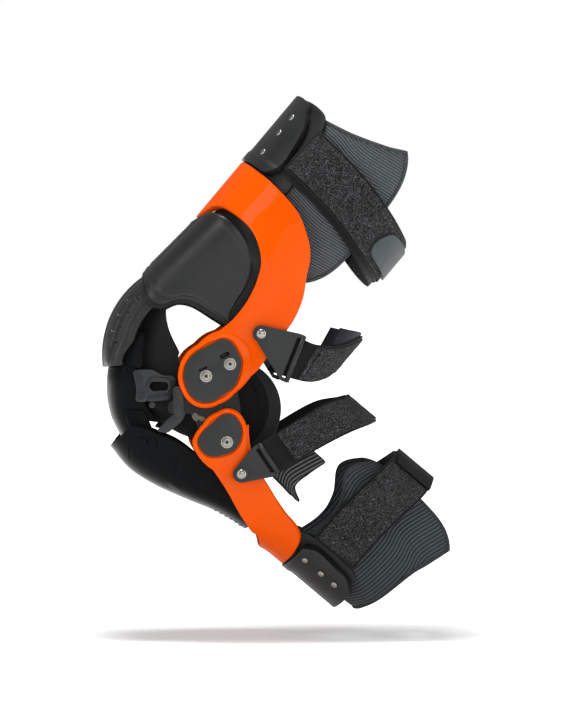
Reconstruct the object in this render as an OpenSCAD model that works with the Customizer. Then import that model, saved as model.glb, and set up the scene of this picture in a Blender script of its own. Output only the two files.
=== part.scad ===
// Motocross knee brace, single right-leg guard, standing flexed at a right angle.
// X is forward (negative) to back (positive), Y is across the knee, Z is up.
// The two hinges turn about axes parallel to Y; lateral is the -Y side.

/* [Overall] */
// Inner width between the two padded condyle faces
knee_w = 101; // [90:1:116]
// Distance from the upper hinge pivot to the top rim of the thigh cuff
thigh_len = 204; // [180:1:230]
// Distance from the lower hinge pivot to the end of the shin cuff
shin_len = 153; // [135:1:175]
// Width across the thigh cuff, outside
thigh_w = 164; // [148:1:184]
// Width across the shin cuff, outside
shin_w = 122; // [110:1:138]
// Depth from the limb centre to the front of the thigh cuff
thigh_d = 78; // [70:1:88]
// Depth from the limb centre to the front of the shin cuff
shin_d = 62; // [56:1:70]

/* [Hinges] */
// Distance between the upper and lower pivots of the hinge link
pivot_gap = 48.6; // [46:0.2:54]
// Radius of the upper hinge pod
pod_up_r = 24.3; // [21:0.1:25]
// Radius of the lower hinge pod
pod_low_r = 23.3; // [20:0.1:24]
// Thickness of the side arms of both frames
arm_t = 5; // [4:0.1:6]
// Radius of a pivot pin
pin_r = 5; // [4:0.1:6]
// Radial clearance of a pivot pin in its bore
pin_gap = 0.05; // [0.02:0.01:0.1]
// Thickness of the hinge cover plates
cover_t = 2.6; // [2:0.1:3.5]

/* [Knee plates] */
// Outside radius of the ribbed sliding plate
rib_r = 73.2; // [70:0.1:78]
// Half width of the ribbed sliding plate
rib_w = 51; // [48:1:54]
// Half width of the smooth knee shell
shell_w = 47; // [42:1:50]
// Wall of the knee plates
lame_t = 3.4; // [2.5:0.1:4]

/* [Straps] */
// Width of the long webbing straps
strap_w = 38; // [34:1:42]
// Thickness of the webbing with its pile facing
strap_t = 3; // [2:0.1:4]
// Thickness of the cuff liners
liner_t = 4.4; // [3:0.1:6]

/* [Node] */
// Which sub-part to draw

/* [Hidden] */
$fn = 48;
thigh_tilt = 50;
shin_tilt = -40;
link_tilt = 98.88;
p_t = [-6, 24.75];
p_s = p_t - pivot_gap * [cos(link_tilt), sin(link_tilt)];
pad_in = knee_w / 2;
core_in = pad_in + 12.1;
core_t = 2.8;
pod_in = core_in + core_t + 0.6;
pod_out = pod_in + arm_t;
cover_out = pod_out + 0.1 + cover_t;
t_mid = 5;
t_rear = 62;
s_rear = 63;
k_t = thigh_len / 204;
k_s = shin_len / 153;

// ---- curves and surfaces ----

function cat(a, b, c, d, t) =
  0.5 * (2 * b + (c - a) * t + (2 * a - 5 * b + 4 * c - d) * t * t
  + (3 * b - a - 3 * c + d) * t * t * t);
// Smooth curve through the points p, at t from 0 to 1.
function spl(p, t) =
  let (n = len(p) - 1, s = min(max(t, 0), 1) * n, i = min(floor(s), n - 1))
  cat(p[max(i - 1, 0)], p[i], p[i + 1], p[min(i + 2, n)], s - i);
// Smooth closed outline through the points p.
function ring(p, k = 6) =
  let (n = len(p))
  [for (i = [0 : n - 1]) for (j = [0 : k - 1])
    cat(p[(i + n - 1) % n], p[i], p[(i + 1) % n], p[(i + 2) % n], j / k)];
// An edge given from one side to the front centre, mirrored to the other side.
function sym(p) = concat(p, [for (i = [len(p) - 2 : -1 : 0]) [p[i][0], -p[i][1]]]);
// An edge given from one side to the back centre, mirrored the long way round.
function sym_back(p) =
  concat(p, [for (i = [len(p) - 2 : -1 : 0]) [p[i][0], 360 - p[i][1]]]);
function ease(x) = let (t = min(max(x, 0), 1)) t * t * (3 - 2 * t);
function boxy(a, e) = sign(sin(a)) * (1 - pow(1 - abs(sin(a)), e));
function acosd(x) = acos(min(max(x, -1), 1));

// Thigh surface: u up the thigh, a round it from the front, off outwards.
function t_half(u) = pod_out + (thigh_w / 2 - pod_out) * ease((u - 26) / 164);
function t_exp(u) = 3 - 1.6 * min(max(u, 0) / 100, 1);
function thigh_at(u, a, off) =
  let (d = cos(a) > 0 ? thigh_d : t_rear)
  [u, (t_half(u) + off) * boxy(a, t_exp(u)), t_mid + (d + off) * cos(a)];
function tq(u, v) =
  [u, acosd((v - t_mid) / (v > t_mid ? thigh_d : t_rear))];

// Shin surface: s down the shin, a round it from the front, off outwards.
function s_half(s) = pod_out + (shin_w / 2 - pod_out) * ease(s / 110);
function s_mid(s) = -17 * ease(s / 90);
function s_dep(s) = 80 + (shin_d - 80) * ease(s / 90);
function shin_at(s, a, off) =
  let (d = cos(a) > 0 ? s_dep(s) : s_rear)
  [s, (s_half(s) + off) * boxy(a, t_exp(s)), -s_mid(s) - (d + off) * cos(a)];
function sq(s, w) =
  [s, acosd((w - s_mid(s)) / (w > s_mid(s) ? s_dep(s) : s_rear))];

// Loose strap loops hang on their own deeper surfaces.
function low_at(u, a, off) =
  let (d = cos(a) > 0 ? 78 : 79)
  [u, (pod_out + 3 + off) * boxy(a, 2.4), t_mid + (d + off) * cos(a)];
function calf_at(s, a, off) =
  [s, (pod_out + 3 - 7 * ease((a > 180 ? 360 - a : a) / 180 - 0.3) + off)
    * boxy(a, 2.4), 8 - (78 + off) * cos(a)];

// Patella shield: the thigh surface swelling forward over the knee cap.
function shield_at(u, a, off) =
  let (d = 78 + 0.086 * max(84 - u, 0))
  [u, (t_half(u) - 7 + off) * boxy(a, 3), t_mid + (d + off) * cos(a)];

// Knee plates: curved about an axis c parallel to Y, at angle g, b across.
function lame_at(c, g, b, r0, rs, w) =
  let (r = rs + (r0 - rs) * pow(max(cos(b), 0), 0.75))
  [c[0] + r * cos(g), w * boxy(b, 1.5), c[1] + r * sin(g)];

// Shin cup: front depth and half width along s.
function cup_f(s) = spl([[-60, 60], [-36, 64], [-10, 61], [14, 54], [38, 46.5], [62, 43]],
  (s + 60) / 122)[1];
function cup_at(s, a, off) =
  [s, (56 - 6 * ease((s - 10) / 60) + off) * boxy(a, 1.7), -(cup_f(s) + off) * cos(a)];

// Grid of points between edge curves p and q.
function grid(p, q, n, m, bow, at) =
  [for (i = [0 : n]) let (t = i / n, e = spl(p, t), f = spl(q, t))
    [for (j = [0 : m]) let (k = j / m, c = e * (1 - k) + f * k)
      at(c[0], c[1] + bow * (t < 0.5 ? 1 : -1) * (1 - pow(abs(2 * k - 1), 4))
        * pow(abs(2 * t - 1), 8))]];

// Closed wall between an outer and an inner grid of points.
module wall(o, n) {
  r = len(o);
  c = len(o[0]);
  k = r * c;
  cells = [for (i = [0 : r - 2]) for (j = [0 : c - 2]) i * c + j];
  rim = concat([for (i = [0 : r - 2]) [i * c, i * c + c]],
    [for (j = [0 : c - 2]) [(r - 1) * c + j, (r - 1) * c + j + 1]],
    [for (i = [r - 1 : -1 : 1]) [i * c + c - 1, i * c - 1]],
    [for (j = [c - 1 : -1 : 1]) [j, j - 1]]);
  faces = concat(
    [for (q = cells) [q, q + c, q + c + 1]],
    [for (q = cells) [q, q + c + 1, q + 1]],
    [for (q = cells) [k + q, k + q + c + 1, k + q + c]],
    [for (q = cells) [k + q, k + q + 1, k + q + c + 1]],
    [for (e = rim) [e[0], k + e[1], e[1]]],
    [for (e = rim) [e[0], k + e[0], k + e[1]]]);
  polyhedron(concat([for (x = o) for (y = x) y], [for (x = n) for (y = x) y]),
    faces, convexity = 6);
}

// A strip of wall on a surface between two edges, from depth lo to depth hi.
module strip(p, q, n, m, lo, hi, at, bow = 0) {
  wall(grid(p, q, n, m, bow, function (u, a) at(u, a, hi)),
    grid(p, q, n, m, bow, function (u, a) at(u, a, lo)));
}

module on_thigh() {
  translate([p_t[0], 0, p_t[1]])
    rotate([0, -thigh_tilt, 0])
      children();
}

module on_shin() {
  translate([p_s[0], 0, p_s[1]])
    rotate([0, -shin_tilt, 0])
      children();
}

// A flat plate on one side, from distance a to distance b off the middle plane.
module side_plate(side, a, b) {
  translate([0, side > 0 ? b : -a, 0])
    rotate([90, 0, 0])
      linear_extrude(b - a)
        children();
}

module side_disc(side, a, b, r, x = 0, z = 0) {
  translate([x, side * a, z])
    rotate([-90 * side, 0, 0])
      cylinder(r = r, h = b - a);
}

function down(p) = [for (q = p) [q[0], -q[1]]];

// ---- thigh ----

thigh_rear = [tq(12, -24.3), tq(24, -26.5), tq(38, -25.5), tq(56, -24.5),
  tq(72, -22.5), tq(87, -17.5), tq(101, -9), tq(114, -1.5), tq(126, 13),
  tq(134, 30), [138, 50], [139, 25], [139, 0]];
thigh_window = [tq(12, 21.4), tq(24, 16.5), tq(38, 13.2), tq(50, 12.8),
  tq(62, 14.2), tq(75, 18), tq(87, 24.3), tq(96, 35), tq(101.5, 48),
  [102, 40], [99, 22], [89, 9], [84, 0]];

module thigh_frame() {
  color("darkorange") on_thigh() {
    scale([k_t, 1, 1])
      strip(sym(thigh_rear), sym(thigh_window), 52, 3, -4.6, 0,
        function (u, a, o) thigh_at(u, a, o));
    for (side = [-1, 1])
      difference() {
        union() {
          side_disc(side, pod_in, pod_out, pod_up_r);
          side_plate(side, pod_in, pod_out)
            polygon([[6, -23.5], [18, -25.6], [22, -24], [24, 14], [14, 19.6], [6, 23.5]]);
        }
        side_disc(side, pod_in - 1, pod_out + 1, pin_r + pin_gap);
      }
  }
}

module thigh_cuff_cap() {
  color("dimgray") on_thigh()
    scale([k_t, 1, 1])
      strip(sym([[204, 25], [204, 14], [204, 0]]), sym([[140.5, 40], [140.5, 20], [140.5, 0]]),
        24, 4, -4, 0, function (u, a, o) thigh_at(u, a, o), 8);
}

module thigh_cuff_rivets() {
  color("silver") on_thigh()
    for (side = [-1, 1])
      for (u = [187, 172, 153])
        translate(thigh_at(u * k_t, side * 24, -3.9))
          rotate([-side * 33, 0, 0])
            cylinder(r = 3.2, h = 5.4);
}

module thigh_anchor_plate() {
  color("#2b2b2d") on_thigh()
    scale([k_t, 1, 1])
      strip(sym([[196, 44], [197, 22], [197, 0]]), sym([[126, 56], [122, 26], [121, 0]]),
        28, 3, -8.1, -5.7, function (u, a, o) thigh_at(u, a, o), 4);
}

module thigh_liner() {
  color("#3a3c3d") on_thigh()
    scale([k_t, 1, 1])
      strip(sym([tq(220, -9), tq(208, 23), [202, 58], [198, 30], [197, 0]]),
        sym([tq(98, -14), tq(101, 8), [114, 56], [120, 28], [121, 0]]),
        44, 6, -8.7 - liner_t, -8.7, function (u, a, o) thigh_at(u, a, o), 16);
}

shield_top = [tq(43, 6), tq(56, 8), tq(72, 12), tq(88, 21), tq(96, 42), [97, 44], [93, 24], [82, 8], [79, 0]];
shield_low = [tq(37, 9), [36, 77], [33, 62], [26, 53], [16, 48], [13, 40], [18, 26], [26, 10], [28, 0]];

module thigh_shield() {
  color("#38393b") on_thigh()
    strip(sym(shield_top), sym(shield_low), 44, 6, -3, -0.4,
      function (u, a, o) shield_at(u, a, o));
}

module thigh_shield_rim() {
  color("#161616") on_thigh()
    strip(sym([for (q = shield_low) [q[0] - 0.4, q[1] + 0.15]]),
      sym([for (q = shield_low) [q[0] - 2.6, q[1] + 0.9]]), 40, 1, -3.3, -0.1, function (u, a, o) shield_at(u, a, o));
}

cover_up = [[-13.7, 14], [-3.7, 18.2], [7.3, 16.9], [20, 11], [23.4, 3.4],
  [20.6, -7], [14.6, -15.6], [3.4, -20.6], [-10.6, -17.6], [-19.4, -10.5], [-21, -1.7]];
cover_low = [[-11.3, 13.4], [-12.4, 2.2], [-10.7, -11], [-3.8, -16.6], [4.3, -17.6],
  [13.4, -8.4], [15.6, 0.3], [11.9, 9.6], [5, 15.6], [-3.7, 17.2]];
screws_up = [[-4.7, 0.9], [13.8, -7.1]];
slots_up = [[16, 0.7], [-1.6, 6.5]];

module upper_cover(side) {
  color("#2e3032") on_thigh()
    difference() {
      side_plate(side, pod_out + 0.1, cover_out)
        polygon(ring(cover_up, 4));
      for (q = screws_up)
        side_disc(side, pod_out - 1, cover_out + 1, 2.7, q[0], q[1]);
      for (q = slots_up)
        side_disc(side, cover_out - 1.2, cover_out + 1, 2, q[0], q[1]);
    }
}

module upper_hinge_cover_lateral() {
  upper_cover(-1);
}

module upper_hinge_cover_medial() {
  upper_cover(1);
}

// Button screw: a shank, and a low head sunk flush in the cover.
module screw(side, x, z) {
  side_disc(side, pod_out + 0.1, cover_out - 0.2, 2.6, x, z);
}

module upper_hinge_screws_lateral() {
  color("silver") on_thigh()
    for (q = screws_up)
      screw(-1, q[0], q[1]);
}

module upper_hinge_screws_medial() {
  color("silver") on_thigh()
    for (q = screws_up)
      screw(1, q[0], q[1]);
}

top_a = [tq(191, 57), tq(189, 30), tq(184, -5), [178, 124], [173, 150], [171, 180]];
top_b = [tq(191 - strap_w, 59), tq(189 - strap_w, 30), tq(184 - strap_w, -5),
  [178 - strap_w, 124], [173 - strap_w, 150], [171 - strap_w, 180]];

module top_thigh_strap() {
  color("#1d1d1f") on_thigh()
    scale([k_t, 1, 1])
      strip(sym_back(top_b), sym_back(top_a), 48, 2, -4.4, -4.4 + strap_t,
        function (u, a, o) thigh_at(u, a, o));
}

module top_strap_tab() {
  color("#454b4c") on_thigh()
    scale([k_t, 1, 1])
      strip([[176, 222], [174, 205], [171.5, 186]],
        [[180 - strap_w, 228], [170 - strap_w, 205], [169.5 - strap_w, 186]],
        14, 3, -1.2, 0.6, function (u, a, o) thigh_at(u, a, o));
}

// ---- link: hinge cores, condyle pads and the smooth knee shell ----

lug = [-32, -1];

module hinge_core(side) {
  color("#9a958c") {
    side_plate(side, core_in, core_in + core_t)
      polygon(ring([p_t + [0, 15], p_t + [13, 7], [16, 0], p_s + [14, -4], p_s + [3, -15],
        p_s + [-12, -8], [-20, -8], lug + [-3, -6], lug + [-6, 1], lug + [0, 6],
        [-20, 10], p_t + [-14, 4]], 5));
    for (p = [p_t, p_s])
      side_disc(side, core_in + core_t - 0.5, pod_out - 0.3, pin_r, p[0], p[1]);
  }
}

module hinge_core_lateral() {
  hinge_core(-1);
}

module hinge_core_medial() {
  hinge_core(1);
}

module condyle_shell(side) {
  color("#202123")
    side_disc(side, core_in - 2.6, core_in - 0.2, 31, 3.4, -1);
}

module condyle_shell_lateral() {
  condyle_shell(-1);
}

module condyle_shell_medial() {
  condyle_shell(1);
}

module condyle_pad(side) {
  color("#2c2d2f")
    translate([10, side * pad_in, -3])
      rotate([-90 * side, 0, 0])
        rotate_extrude($fn = 60)
          polygon([[0, 0], [27, 0], [33, 1.6], [36, 4.6], [36.6, 7.6], [35, 9.2], [0, 9.2]]);
}

module condyle_pad_lateral() {
  condyle_pad(-1);
}

module condyle_pad_medial() {
  condyle_pad(1);
}

// Radius of the knee shell: tucked under the ribbed plate above, fuller below.
function shell_r(g) = 76.2 + 0.2 * min(max(g - 176, 0), 30) + ease((g - 206) / 12);
function shell_s(g) = 50 - 4 * ease((g - 180) / 36);
function shell_h(g) = shell_w - 4 * ease((g - 188) / 20);

module knee_shell() {
  color("#17181a")
    wall([for (i = [0 : 22]) let (g = 150 + 68 * i / 22) [for (j = [0 : 16])
        lame_at(p_t, g, -82 + 164 * j / 16, shell_r(g), shell_s(g), shell_h(g))]],
      [for (i = [0 : 22]) let (g = 150 + 68 * i / 22) [for (j = [0 : 16])
        lame_at(p_t, g, -82 + 164 * j / 16, shell_r(g) - lame_t, shell_s(g) - 0.4,
          shell_h(g) - lame_t + 0.6)]]);
}

module knee_side_plate(side) {
  color("#242527") {
    difference() {
      side_plate(side, shell_w + 0.4, shell_w + 2.8)
        polygon(ring([[-64, 22], [-57, 25], [-46, 22], [-36, 18], [-33, 12], [-29, 2],
          [-29, -4], [-34, -8], [-41, -21], [-47, -21], [-44, -8], [-54, -2], [-62, 4]], 4));
      side_plate(side, shell_w - 1, shell_w + 4)
        polygon([[-52, 17.5], [-38, 12.5], [-37, 15], [-51, 20]]);
    }
    side_disc(side, shell_w + 2.4, core_in - 0.1, 3, lug[0], lug[1]);
  }
}

module knee_side_plate_lateral() {
  knee_side_plate(-1);
}

module knee_side_plate_medial() {
  knee_side_plate(1);
}

module knee_side_screws() {
  color("silver")
    for (side = [-1, 1])
      for (q = [[-59, 18], [-57, 6]])
        side_disc(side, shell_w + 2.9, shell_w + 4.4, 2.8, q[0], q[1]);
}

// Radius of the knee foam, and of the side wings that reach in towards the hinge.
function foam_r(g) = 68.6 - 18 * ease((g - 206) / 26);
function foam_s(g) = 24 + 38 * (1 - ease((g - 118) / 32)) + 12 * ease((g - 205) / 25);

module knee_foam_pad() {
  color("#141415")
    wall([for (i = [0 : 22]) let (g = 118 + 114 * i / 22) [for (j = [0 : 12])
        lame_at(p_t, g, -80 + 160 * j / 12, foam_r(g), foam_s(g), shell_w - 5)]],
      [for (i = [0 : 22]) let (g = 118 + 114 * i / 22) [for (j = [0 : 12])
        lame_at(p_t, g, -80 + 160 * j / 12, foam_r(g) - 8.6, foam_s(g) - 4, shell_w - 12)]]);
}

// ---- ribbed sliding plate ----

// Centre of the guide arc of the ribbed plate.
rib_c = p_t + [-8.3, 12.2];
function rib_s(g) = 44 + 10 * ease((g - 165) / 20);

module ribbed_plate() {
  color("#1b1c1e")
    wall([for (i = [0 : 20]) let (g = 104 + 83 * i / 20) [for (j = [0 : 18])
        lame_at(rib_c, g, -82 + 164 * j / 18, rib_r, rib_s(g), rib_w)]],
      [for (i = [0 : 20]) let (g = 104 + 83 * i / 20) [for (j = [0 : 18])
        lame_at(rib_c, g, -82 + 164 * j / 18, rib_r - lame_t + 1, rib_s(g) - 0.5,
          rib_w - lame_t + 1.2)]]);
}

// ---- shin ----

shin_back = [sq(10, -20.6), sq(18, -12), sq(28, -4), sq(40, 2), sq(52, 6.5), sq(64, 11),
  sq(76, 14.6), sq(88, 17), sq(96, 22), [100, 38], [101, 18], [101, 0]];
shin_front = [sq(10, 23), sq(18, 25.2), sq(26, 27.6), sq(34, 30.4), sq(42, 33.6),
  sq(50, 36.6), sq(58, 39), sq(65, 41), [71, 30], [76, 20], [78, 10], [79, 0]];

module shin_frame() {
  color("darkorange") on_shin() {
    scale([k_s, 1, 1])
      strip(sym(shin_front), sym(shin_back), 48, 3, -4.6, 0,
        function (u, a, o) shin_at(u, a, o));
    for (side = [-1, 1])
      difference() {
        union() {
          side_disc(side, pod_in, pod_out, pod_low_r);
          side_plate(side, pod_in, pod_out)
            polygon(down([[4, -22.8], [12, -20], [20, -11], [21, 24.4], [13, 24], [4, 22.8]]));
        }
        side_disc(side, pod_in - 1, pod_out + 1, pin_r + pin_gap);
      }
  }
}

module shin_cuff_cap() {
  color("dimgray") on_shin()
    scale([k_s, 1, 1])
      strip(sym([[102.5, 46], [102.5, 22], [102.5, 0]]), sym([[153, 36], [153, 18], [153, 0]]),
        24, 4, -4, 0, function (u, a, o) shin_at(u, a, o), 8);
}

module shin_cuff_rivets() {
  color("silver") on_shin()
    for (side = [-1, 1])
      for (s = [110, 126, 139])
        translate(shin_at(s * k_s, side * 38, -3.6))
          rotate([180 + side * 44, 0, 0])
            cylinder(r = 3, h = 5);
}

module shin_anchor_plate() {
  color("#2b2b2d") on_shin()
    scale([k_s, 1, 1])
      strip(sym([[92, 52], [90, 26], [89, 0]]), sym([[148, 52], [149, 26], [149, 0]]),
        28, 3, -8.1, -5.7, function (u, a, o) shin_at(u, a, o), 5);
}

module shin_liner() {
  color("#3a3c3d") on_shin()
    scale([k_s, 1, 1])
      strip(sym([sq(100, -64), sq(91, -46), sq(102, -22), sq(104, 4), [92, 24], [88, 0]]),
        sym([sq(188, -50), sq(182, -28), sq(177, -10), sq(171, 26), [167, 24], [165, 0]]),
        44, 6, -8.7 - liner_t, -8.7, function (u, a, o) shin_at(u, a, o), 15);
}

module calf_mesh_pad() {
  color("#303233") on_shin()
    scale([k_s, 1, 1])
      for (m = [0, 1])
        mirror([0, m, 0])
          strip([[77, 72], [67, 82], [69, 97], [73, 112]],
            [[43, 86], [46, 96], [52, 106], [59, 116]],
            12, 3, -12.6, -8.2, function (u, a, o) shin_at(u, a, o));
}

sh_a = [sq(104, 16), sq(104, -10), sq(106, -35), [109, 130], [112, 155], [112, 180]];
sh_b = [sq(104 + strap_w, 16), sq(104 + strap_w, -10), sq(106 + strap_w, -35),
  [109 + strap_w, 130], [111 + strap_w, 155], [112 + strap_w, 180]];

module shin_strap() {
  color("#1d1d1f") on_shin()
    scale([k_s, 1, 1])
      strip(sym_back(sh_b), sym_back(sh_a), 48, 2, -4.4, -4.4 + strap_t,
        function (u, a, o) shin_at(u, a, o));
}

module shin_strap_tab() {
  color("#151516") on_shin()
    scale([k_s, 1, 1])
      strip([[116, 212], [114, 200], [113, 184]],
        [[111 + strap_w, 212], [110 + strap_w, 200], [110 + strap_w, 184]],
        14, 3, -1.2, 0.6, function (u, a, o) shin_at(u, a, o));
}

module lower_cover(side) {
  color("#2e3032") on_shin()
    difference() {
      side_plate(side, pod_out + 0.1, cover_out)
        polygon(ring(down(cover_low), 4));
      side_disc(side, pod_out - 1, cover_out + 1, 2.7, 6.3, -0.6);
    }
}

module lower_hinge_cover_lateral() {
  lower_cover(-1);
}

module lower_hinge_cover_medial() {
  lower_cover(1);
}

module lower_hinge_screw_lateral() {
  color("silver") on_shin()
    screw(-1, 6.3, -0.6);
}

module lower_hinge_screw_medial() {
  color("silver") on_shin()
    screw(1, 6.3, -0.6);
}

// ---- shin cup, tilting about its lower tip ----

cup_top = [[-57, 50], [-50, 56], [-38, 62], [-20, 67], [0, 66], [20, 56], [40, 44], [62, 30]];

module shin_cup() {
  color("#131415") on_shin()
    wall([for (i = [0 : 26]) let (t = i / 26, e = spl(cup_top, t)) [for (j = [0 : 12])
        cup_at(e[0], e[1] * (j / 6 - 1), 0)]],
      [for (i = [0 : 26]) let (t = i / 26, e = spl(cup_top, t)) [for (j = [0 : 12])
        cup_at(e[0], e[1] * (j / 6 - 1), -3)]]);
}

cup_pin = [66, -38];

module shin_cup_pin() {
  color("#2b2b2d") on_shin()
    for (side = [-1, 1])
      side_disc(side, 6, 16, 2.4, cup_pin[0], cup_pin[1]);
}

// ---- strap clips and loops ----

t_rivet = [46, -10.4];
c_rivet = [30, -12];
clip_in = cover_out + 0.3;

// A flat three-cornered clip: pivot ear, and a slotted bar that takes the strap.
module clip(side, r, a, b, in) {
  difference() {
    side_plate(side, in, in + 2)
      polygon([r + [-4, 4], r + [5, 3], r + [5, -3], a + [3, 1], a + [2, -4], b + [-3, -3],
        b + [-4, 1], r + [-6, -3]]);
    side_disc(side, in - 1, in + 3, 2.55, r[0], r[1]);
    side_plate(side, in - 1, in + 3)
      polygon([a * 0.9 + b * 0.1 + [0, 0.5], b * 0.9 + a * 0.1 + [0, 0.5],
        b * 0.9 + a * 0.1 + [-1, -3], a * 0.9 + b * 0.1 + [-1, -3]]);
  }
}

module thigh_clips() {
  color("#303235") on_thigh()
    for (side = [-1, 1])
      clip(side, t_rivet, [65, -33], [29, -45], pod_out + 1.9);
}

module thigh_clip_rivets() {
  color("silver") on_thigh()
    for (side = [-1, 1]) {
      side_disc(side, pod_out - 2, pod_out + 4.3, 2.5, t_rivet[0], t_rivet[1]);
      side_disc(side, pod_out + 4.2, pod_out + 5.4, 4.4, t_rivet[0], t_rivet[1]);
    }
}

low_a = [[62, 117], [66, 131], [76, 147], [92, 165], [96, 180]];
low_b = [[31, 123], [36, 136], [44, 152], [58, 170], [63, 180]];

module lower_thigh_strap() {
  color("#1d1d1f") on_thigh()
    strip(sym_back(low_b), sym_back(low_a), 40, 2, -strap_t / 2, strap_t / 2,
      function (u, a, o) low_at(u, a, o));
}

module lower_strap_pad() {
  color("#1c2230") on_thigh()
    strip(sym_back([[44, 132], [39, 142], [48, 154], [62, 168], [66, 180]]),
      sym_back([[64, 128], [82, 138], [95, 153], [100, 168], [101, 180]]),
      24, 3, -strap_t / 2 - 6, -strap_t / 2 - 0.4, function (u, a, o) low_at(u, a, o));
}

module calf_clips() {
  color("#303235") on_shin()
    for (side = [-1, 1])
      mirror([0, 0, 1])
        clip(side, [30, 12], [50, -3], [24, -11], pod_out + 1.9);
}

module calf_clip_rivets() {
  color("silver") on_shin()
    for (side = [-1, 1]) {
      side_disc(side, pod_out - 3, pod_out + 4.3, 2.5, c_rivet[0], c_rivet[1]);
      side_disc(side, pod_out + 4.2, pod_out + 5.4, 4.4, c_rivet[0], c_rivet[1]);
    }
}

calf_a = [[24, 91], [32, 110], [44, 140], [54, 160], [56, 180]];
calf_b = [[50, 86], [58, 105], [72, 135], [82, 158], [86, 180]];

module calf_strap() {
  color("#1d1d1f") on_shin()
    strip(sym_back(calf_b), sym_back(calf_a), 40, 2, -strap_t / 2, strap_t / 2,
      function (u, a, o) calf_at(u, a, o));
}

module calf_strap_pad() {
  color("#1c2230") on_shin()
    strip(sym_back([[58, 112], [71, 120], [82, 138], [86, 158], [87, 180]]),
      sym_back([[39, 119], [38, 133], [49, 150], [58, 166], [60, 180]]),
      24, 3, -strap_t / 2 - 6, -strap_t / 2 - 0.4, function (u, a, o) calf_at(u, a, o));
}

// ---- drawing ----

thigh_frame();
thigh_cuff_cap();
thigh_cuff_rivets();
thigh_anchor_plate();
thigh_liner();
thigh_shield();
thigh_shield_rim();
upper_hinge_cover_lateral();
upper_hinge_cover_medial();
upper_hinge_screws_lateral();
upper_hinge_screws_medial();
top_thigh_strap();
top_strap_tab();
knee_foam_pad();
hinge_core_lateral();
hinge_core_medial();
condyle_shell_lateral();
condyle_shell_medial();
condyle_pad_lateral();
condyle_pad_medial();
knee_shell();
knee_side_plate_lateral();
knee_side_plate_medial();
knee_side_screws();
ribbed_plate();
shin_frame();
shin_cuff_cap();
shin_cuff_rivets();
shin_anchor_plate();
shin_liner();
calf_mesh_pad();
shin_strap();
shin_strap_tab();
lower_hinge_cover_lateral();
lower_hinge_cover_medial();
lower_hinge_screw_lateral();
lower_hinge_screw_medial();
shin_cup();
shin_cup_pin();
thigh_clips();
thigh_clip_rivets();
lower_thigh_strap();
lower_strap_pad();
calf_clips();
calf_clip_rivets();
calf_strap();
calf_strap_pad();
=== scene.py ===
import math

import bmesh
import bpy
import numpy as np
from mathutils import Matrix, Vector


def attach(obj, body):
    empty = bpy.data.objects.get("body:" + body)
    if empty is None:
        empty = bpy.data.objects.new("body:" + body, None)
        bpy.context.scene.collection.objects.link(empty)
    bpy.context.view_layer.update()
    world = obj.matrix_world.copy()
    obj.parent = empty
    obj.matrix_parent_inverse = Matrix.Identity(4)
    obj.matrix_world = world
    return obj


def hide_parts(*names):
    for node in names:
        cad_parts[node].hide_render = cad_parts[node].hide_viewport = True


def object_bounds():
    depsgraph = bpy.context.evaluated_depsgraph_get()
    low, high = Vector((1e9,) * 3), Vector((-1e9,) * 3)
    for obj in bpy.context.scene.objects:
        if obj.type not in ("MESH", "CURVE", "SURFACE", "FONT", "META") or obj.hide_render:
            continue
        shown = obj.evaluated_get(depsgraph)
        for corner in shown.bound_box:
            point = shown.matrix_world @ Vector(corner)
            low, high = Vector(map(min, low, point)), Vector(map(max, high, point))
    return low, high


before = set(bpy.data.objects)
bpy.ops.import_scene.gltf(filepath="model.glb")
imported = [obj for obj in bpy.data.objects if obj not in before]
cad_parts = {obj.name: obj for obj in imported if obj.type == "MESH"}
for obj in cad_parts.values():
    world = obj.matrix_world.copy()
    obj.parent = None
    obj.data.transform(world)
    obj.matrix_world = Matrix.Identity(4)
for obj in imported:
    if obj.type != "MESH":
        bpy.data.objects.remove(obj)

cad_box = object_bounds()

# ---- Studio: a pale sweep, big soft lights and the camera at the brace's outer side ----
# The brace hangs just clear of the floor. The lamps cast a soft pool of shade under it, and the floor's glow is
# painted dimmer near the brace, a painted shade that deepens that pool.
camera_turn, camera_rise, camera_range = -2.6, 0.6, 3.4


def linear(hex_colour, alpha=1.0):
    """An sRGB hex colour as linear RGBA."""
    parts = [int(hex_colour[i : i + 2], 16) / 255 for i in (1, 3, 5)]
    return [c / 12.92 if c <= 0.04045 else ((c + 0.055) / 1.055) ** 2.4 for c in parts] + [alpha]


def add(tree, kind, links=None, **settings):
    """Adds a node with its settings (attributes or input sockets) and its incoming links."""
    n = tree.nodes.new(kind)
    for key, value in settings.items():
        if hasattr(n, key):
            setattr(n, key, value)
        else:
            n.inputs[int(key[1:]) if key[1:].isdigit() else key.replace("_", " ")].default_value = value
    for key, source in (links or {}).items():
        tree.links.new(source, n.inputs[key])
    return n


def times(tree, value, factor):
    """A node that multiplies a value by a fixed factor: returns its output."""
    return add(tree, "ShaderNodeMath", {0: value}, operation="MULTIPLY", _1=factor).outputs[0]


def two_tone(tree, shader, factor, low_colour, high_colour):
    """Blends the base colour between two hex colours."""
    tint = add(tree, "ShaderNodeMix", {"Factor": factor}, data_type="RGBA")
    tint.inputs[6].default_value, tint.inputs[7].default_value = linear(low_colour), linear(high_colour)
    tree.links.new(tint.outputs[2], shader.inputs["Base Color"])


def finish_material(name, base, roughness, **shader):
    """A principled material: returns it, its tree and its shader node."""
    m = bpy.data.materials.new(name)
    m.use_nodes = True
    m.diffuse_color = linear(base)
    tree = m.node_tree
    tree.nodes.clear()
    p = add(tree, "ShaderNodeBsdfPrincipled", Base_Color=linear(base), Roughness=roughness, **shader)
    add(tree, "ShaderNodeOutputMaterial", {"Surface": p.outputs[0]})
    return m, tree, p


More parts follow.
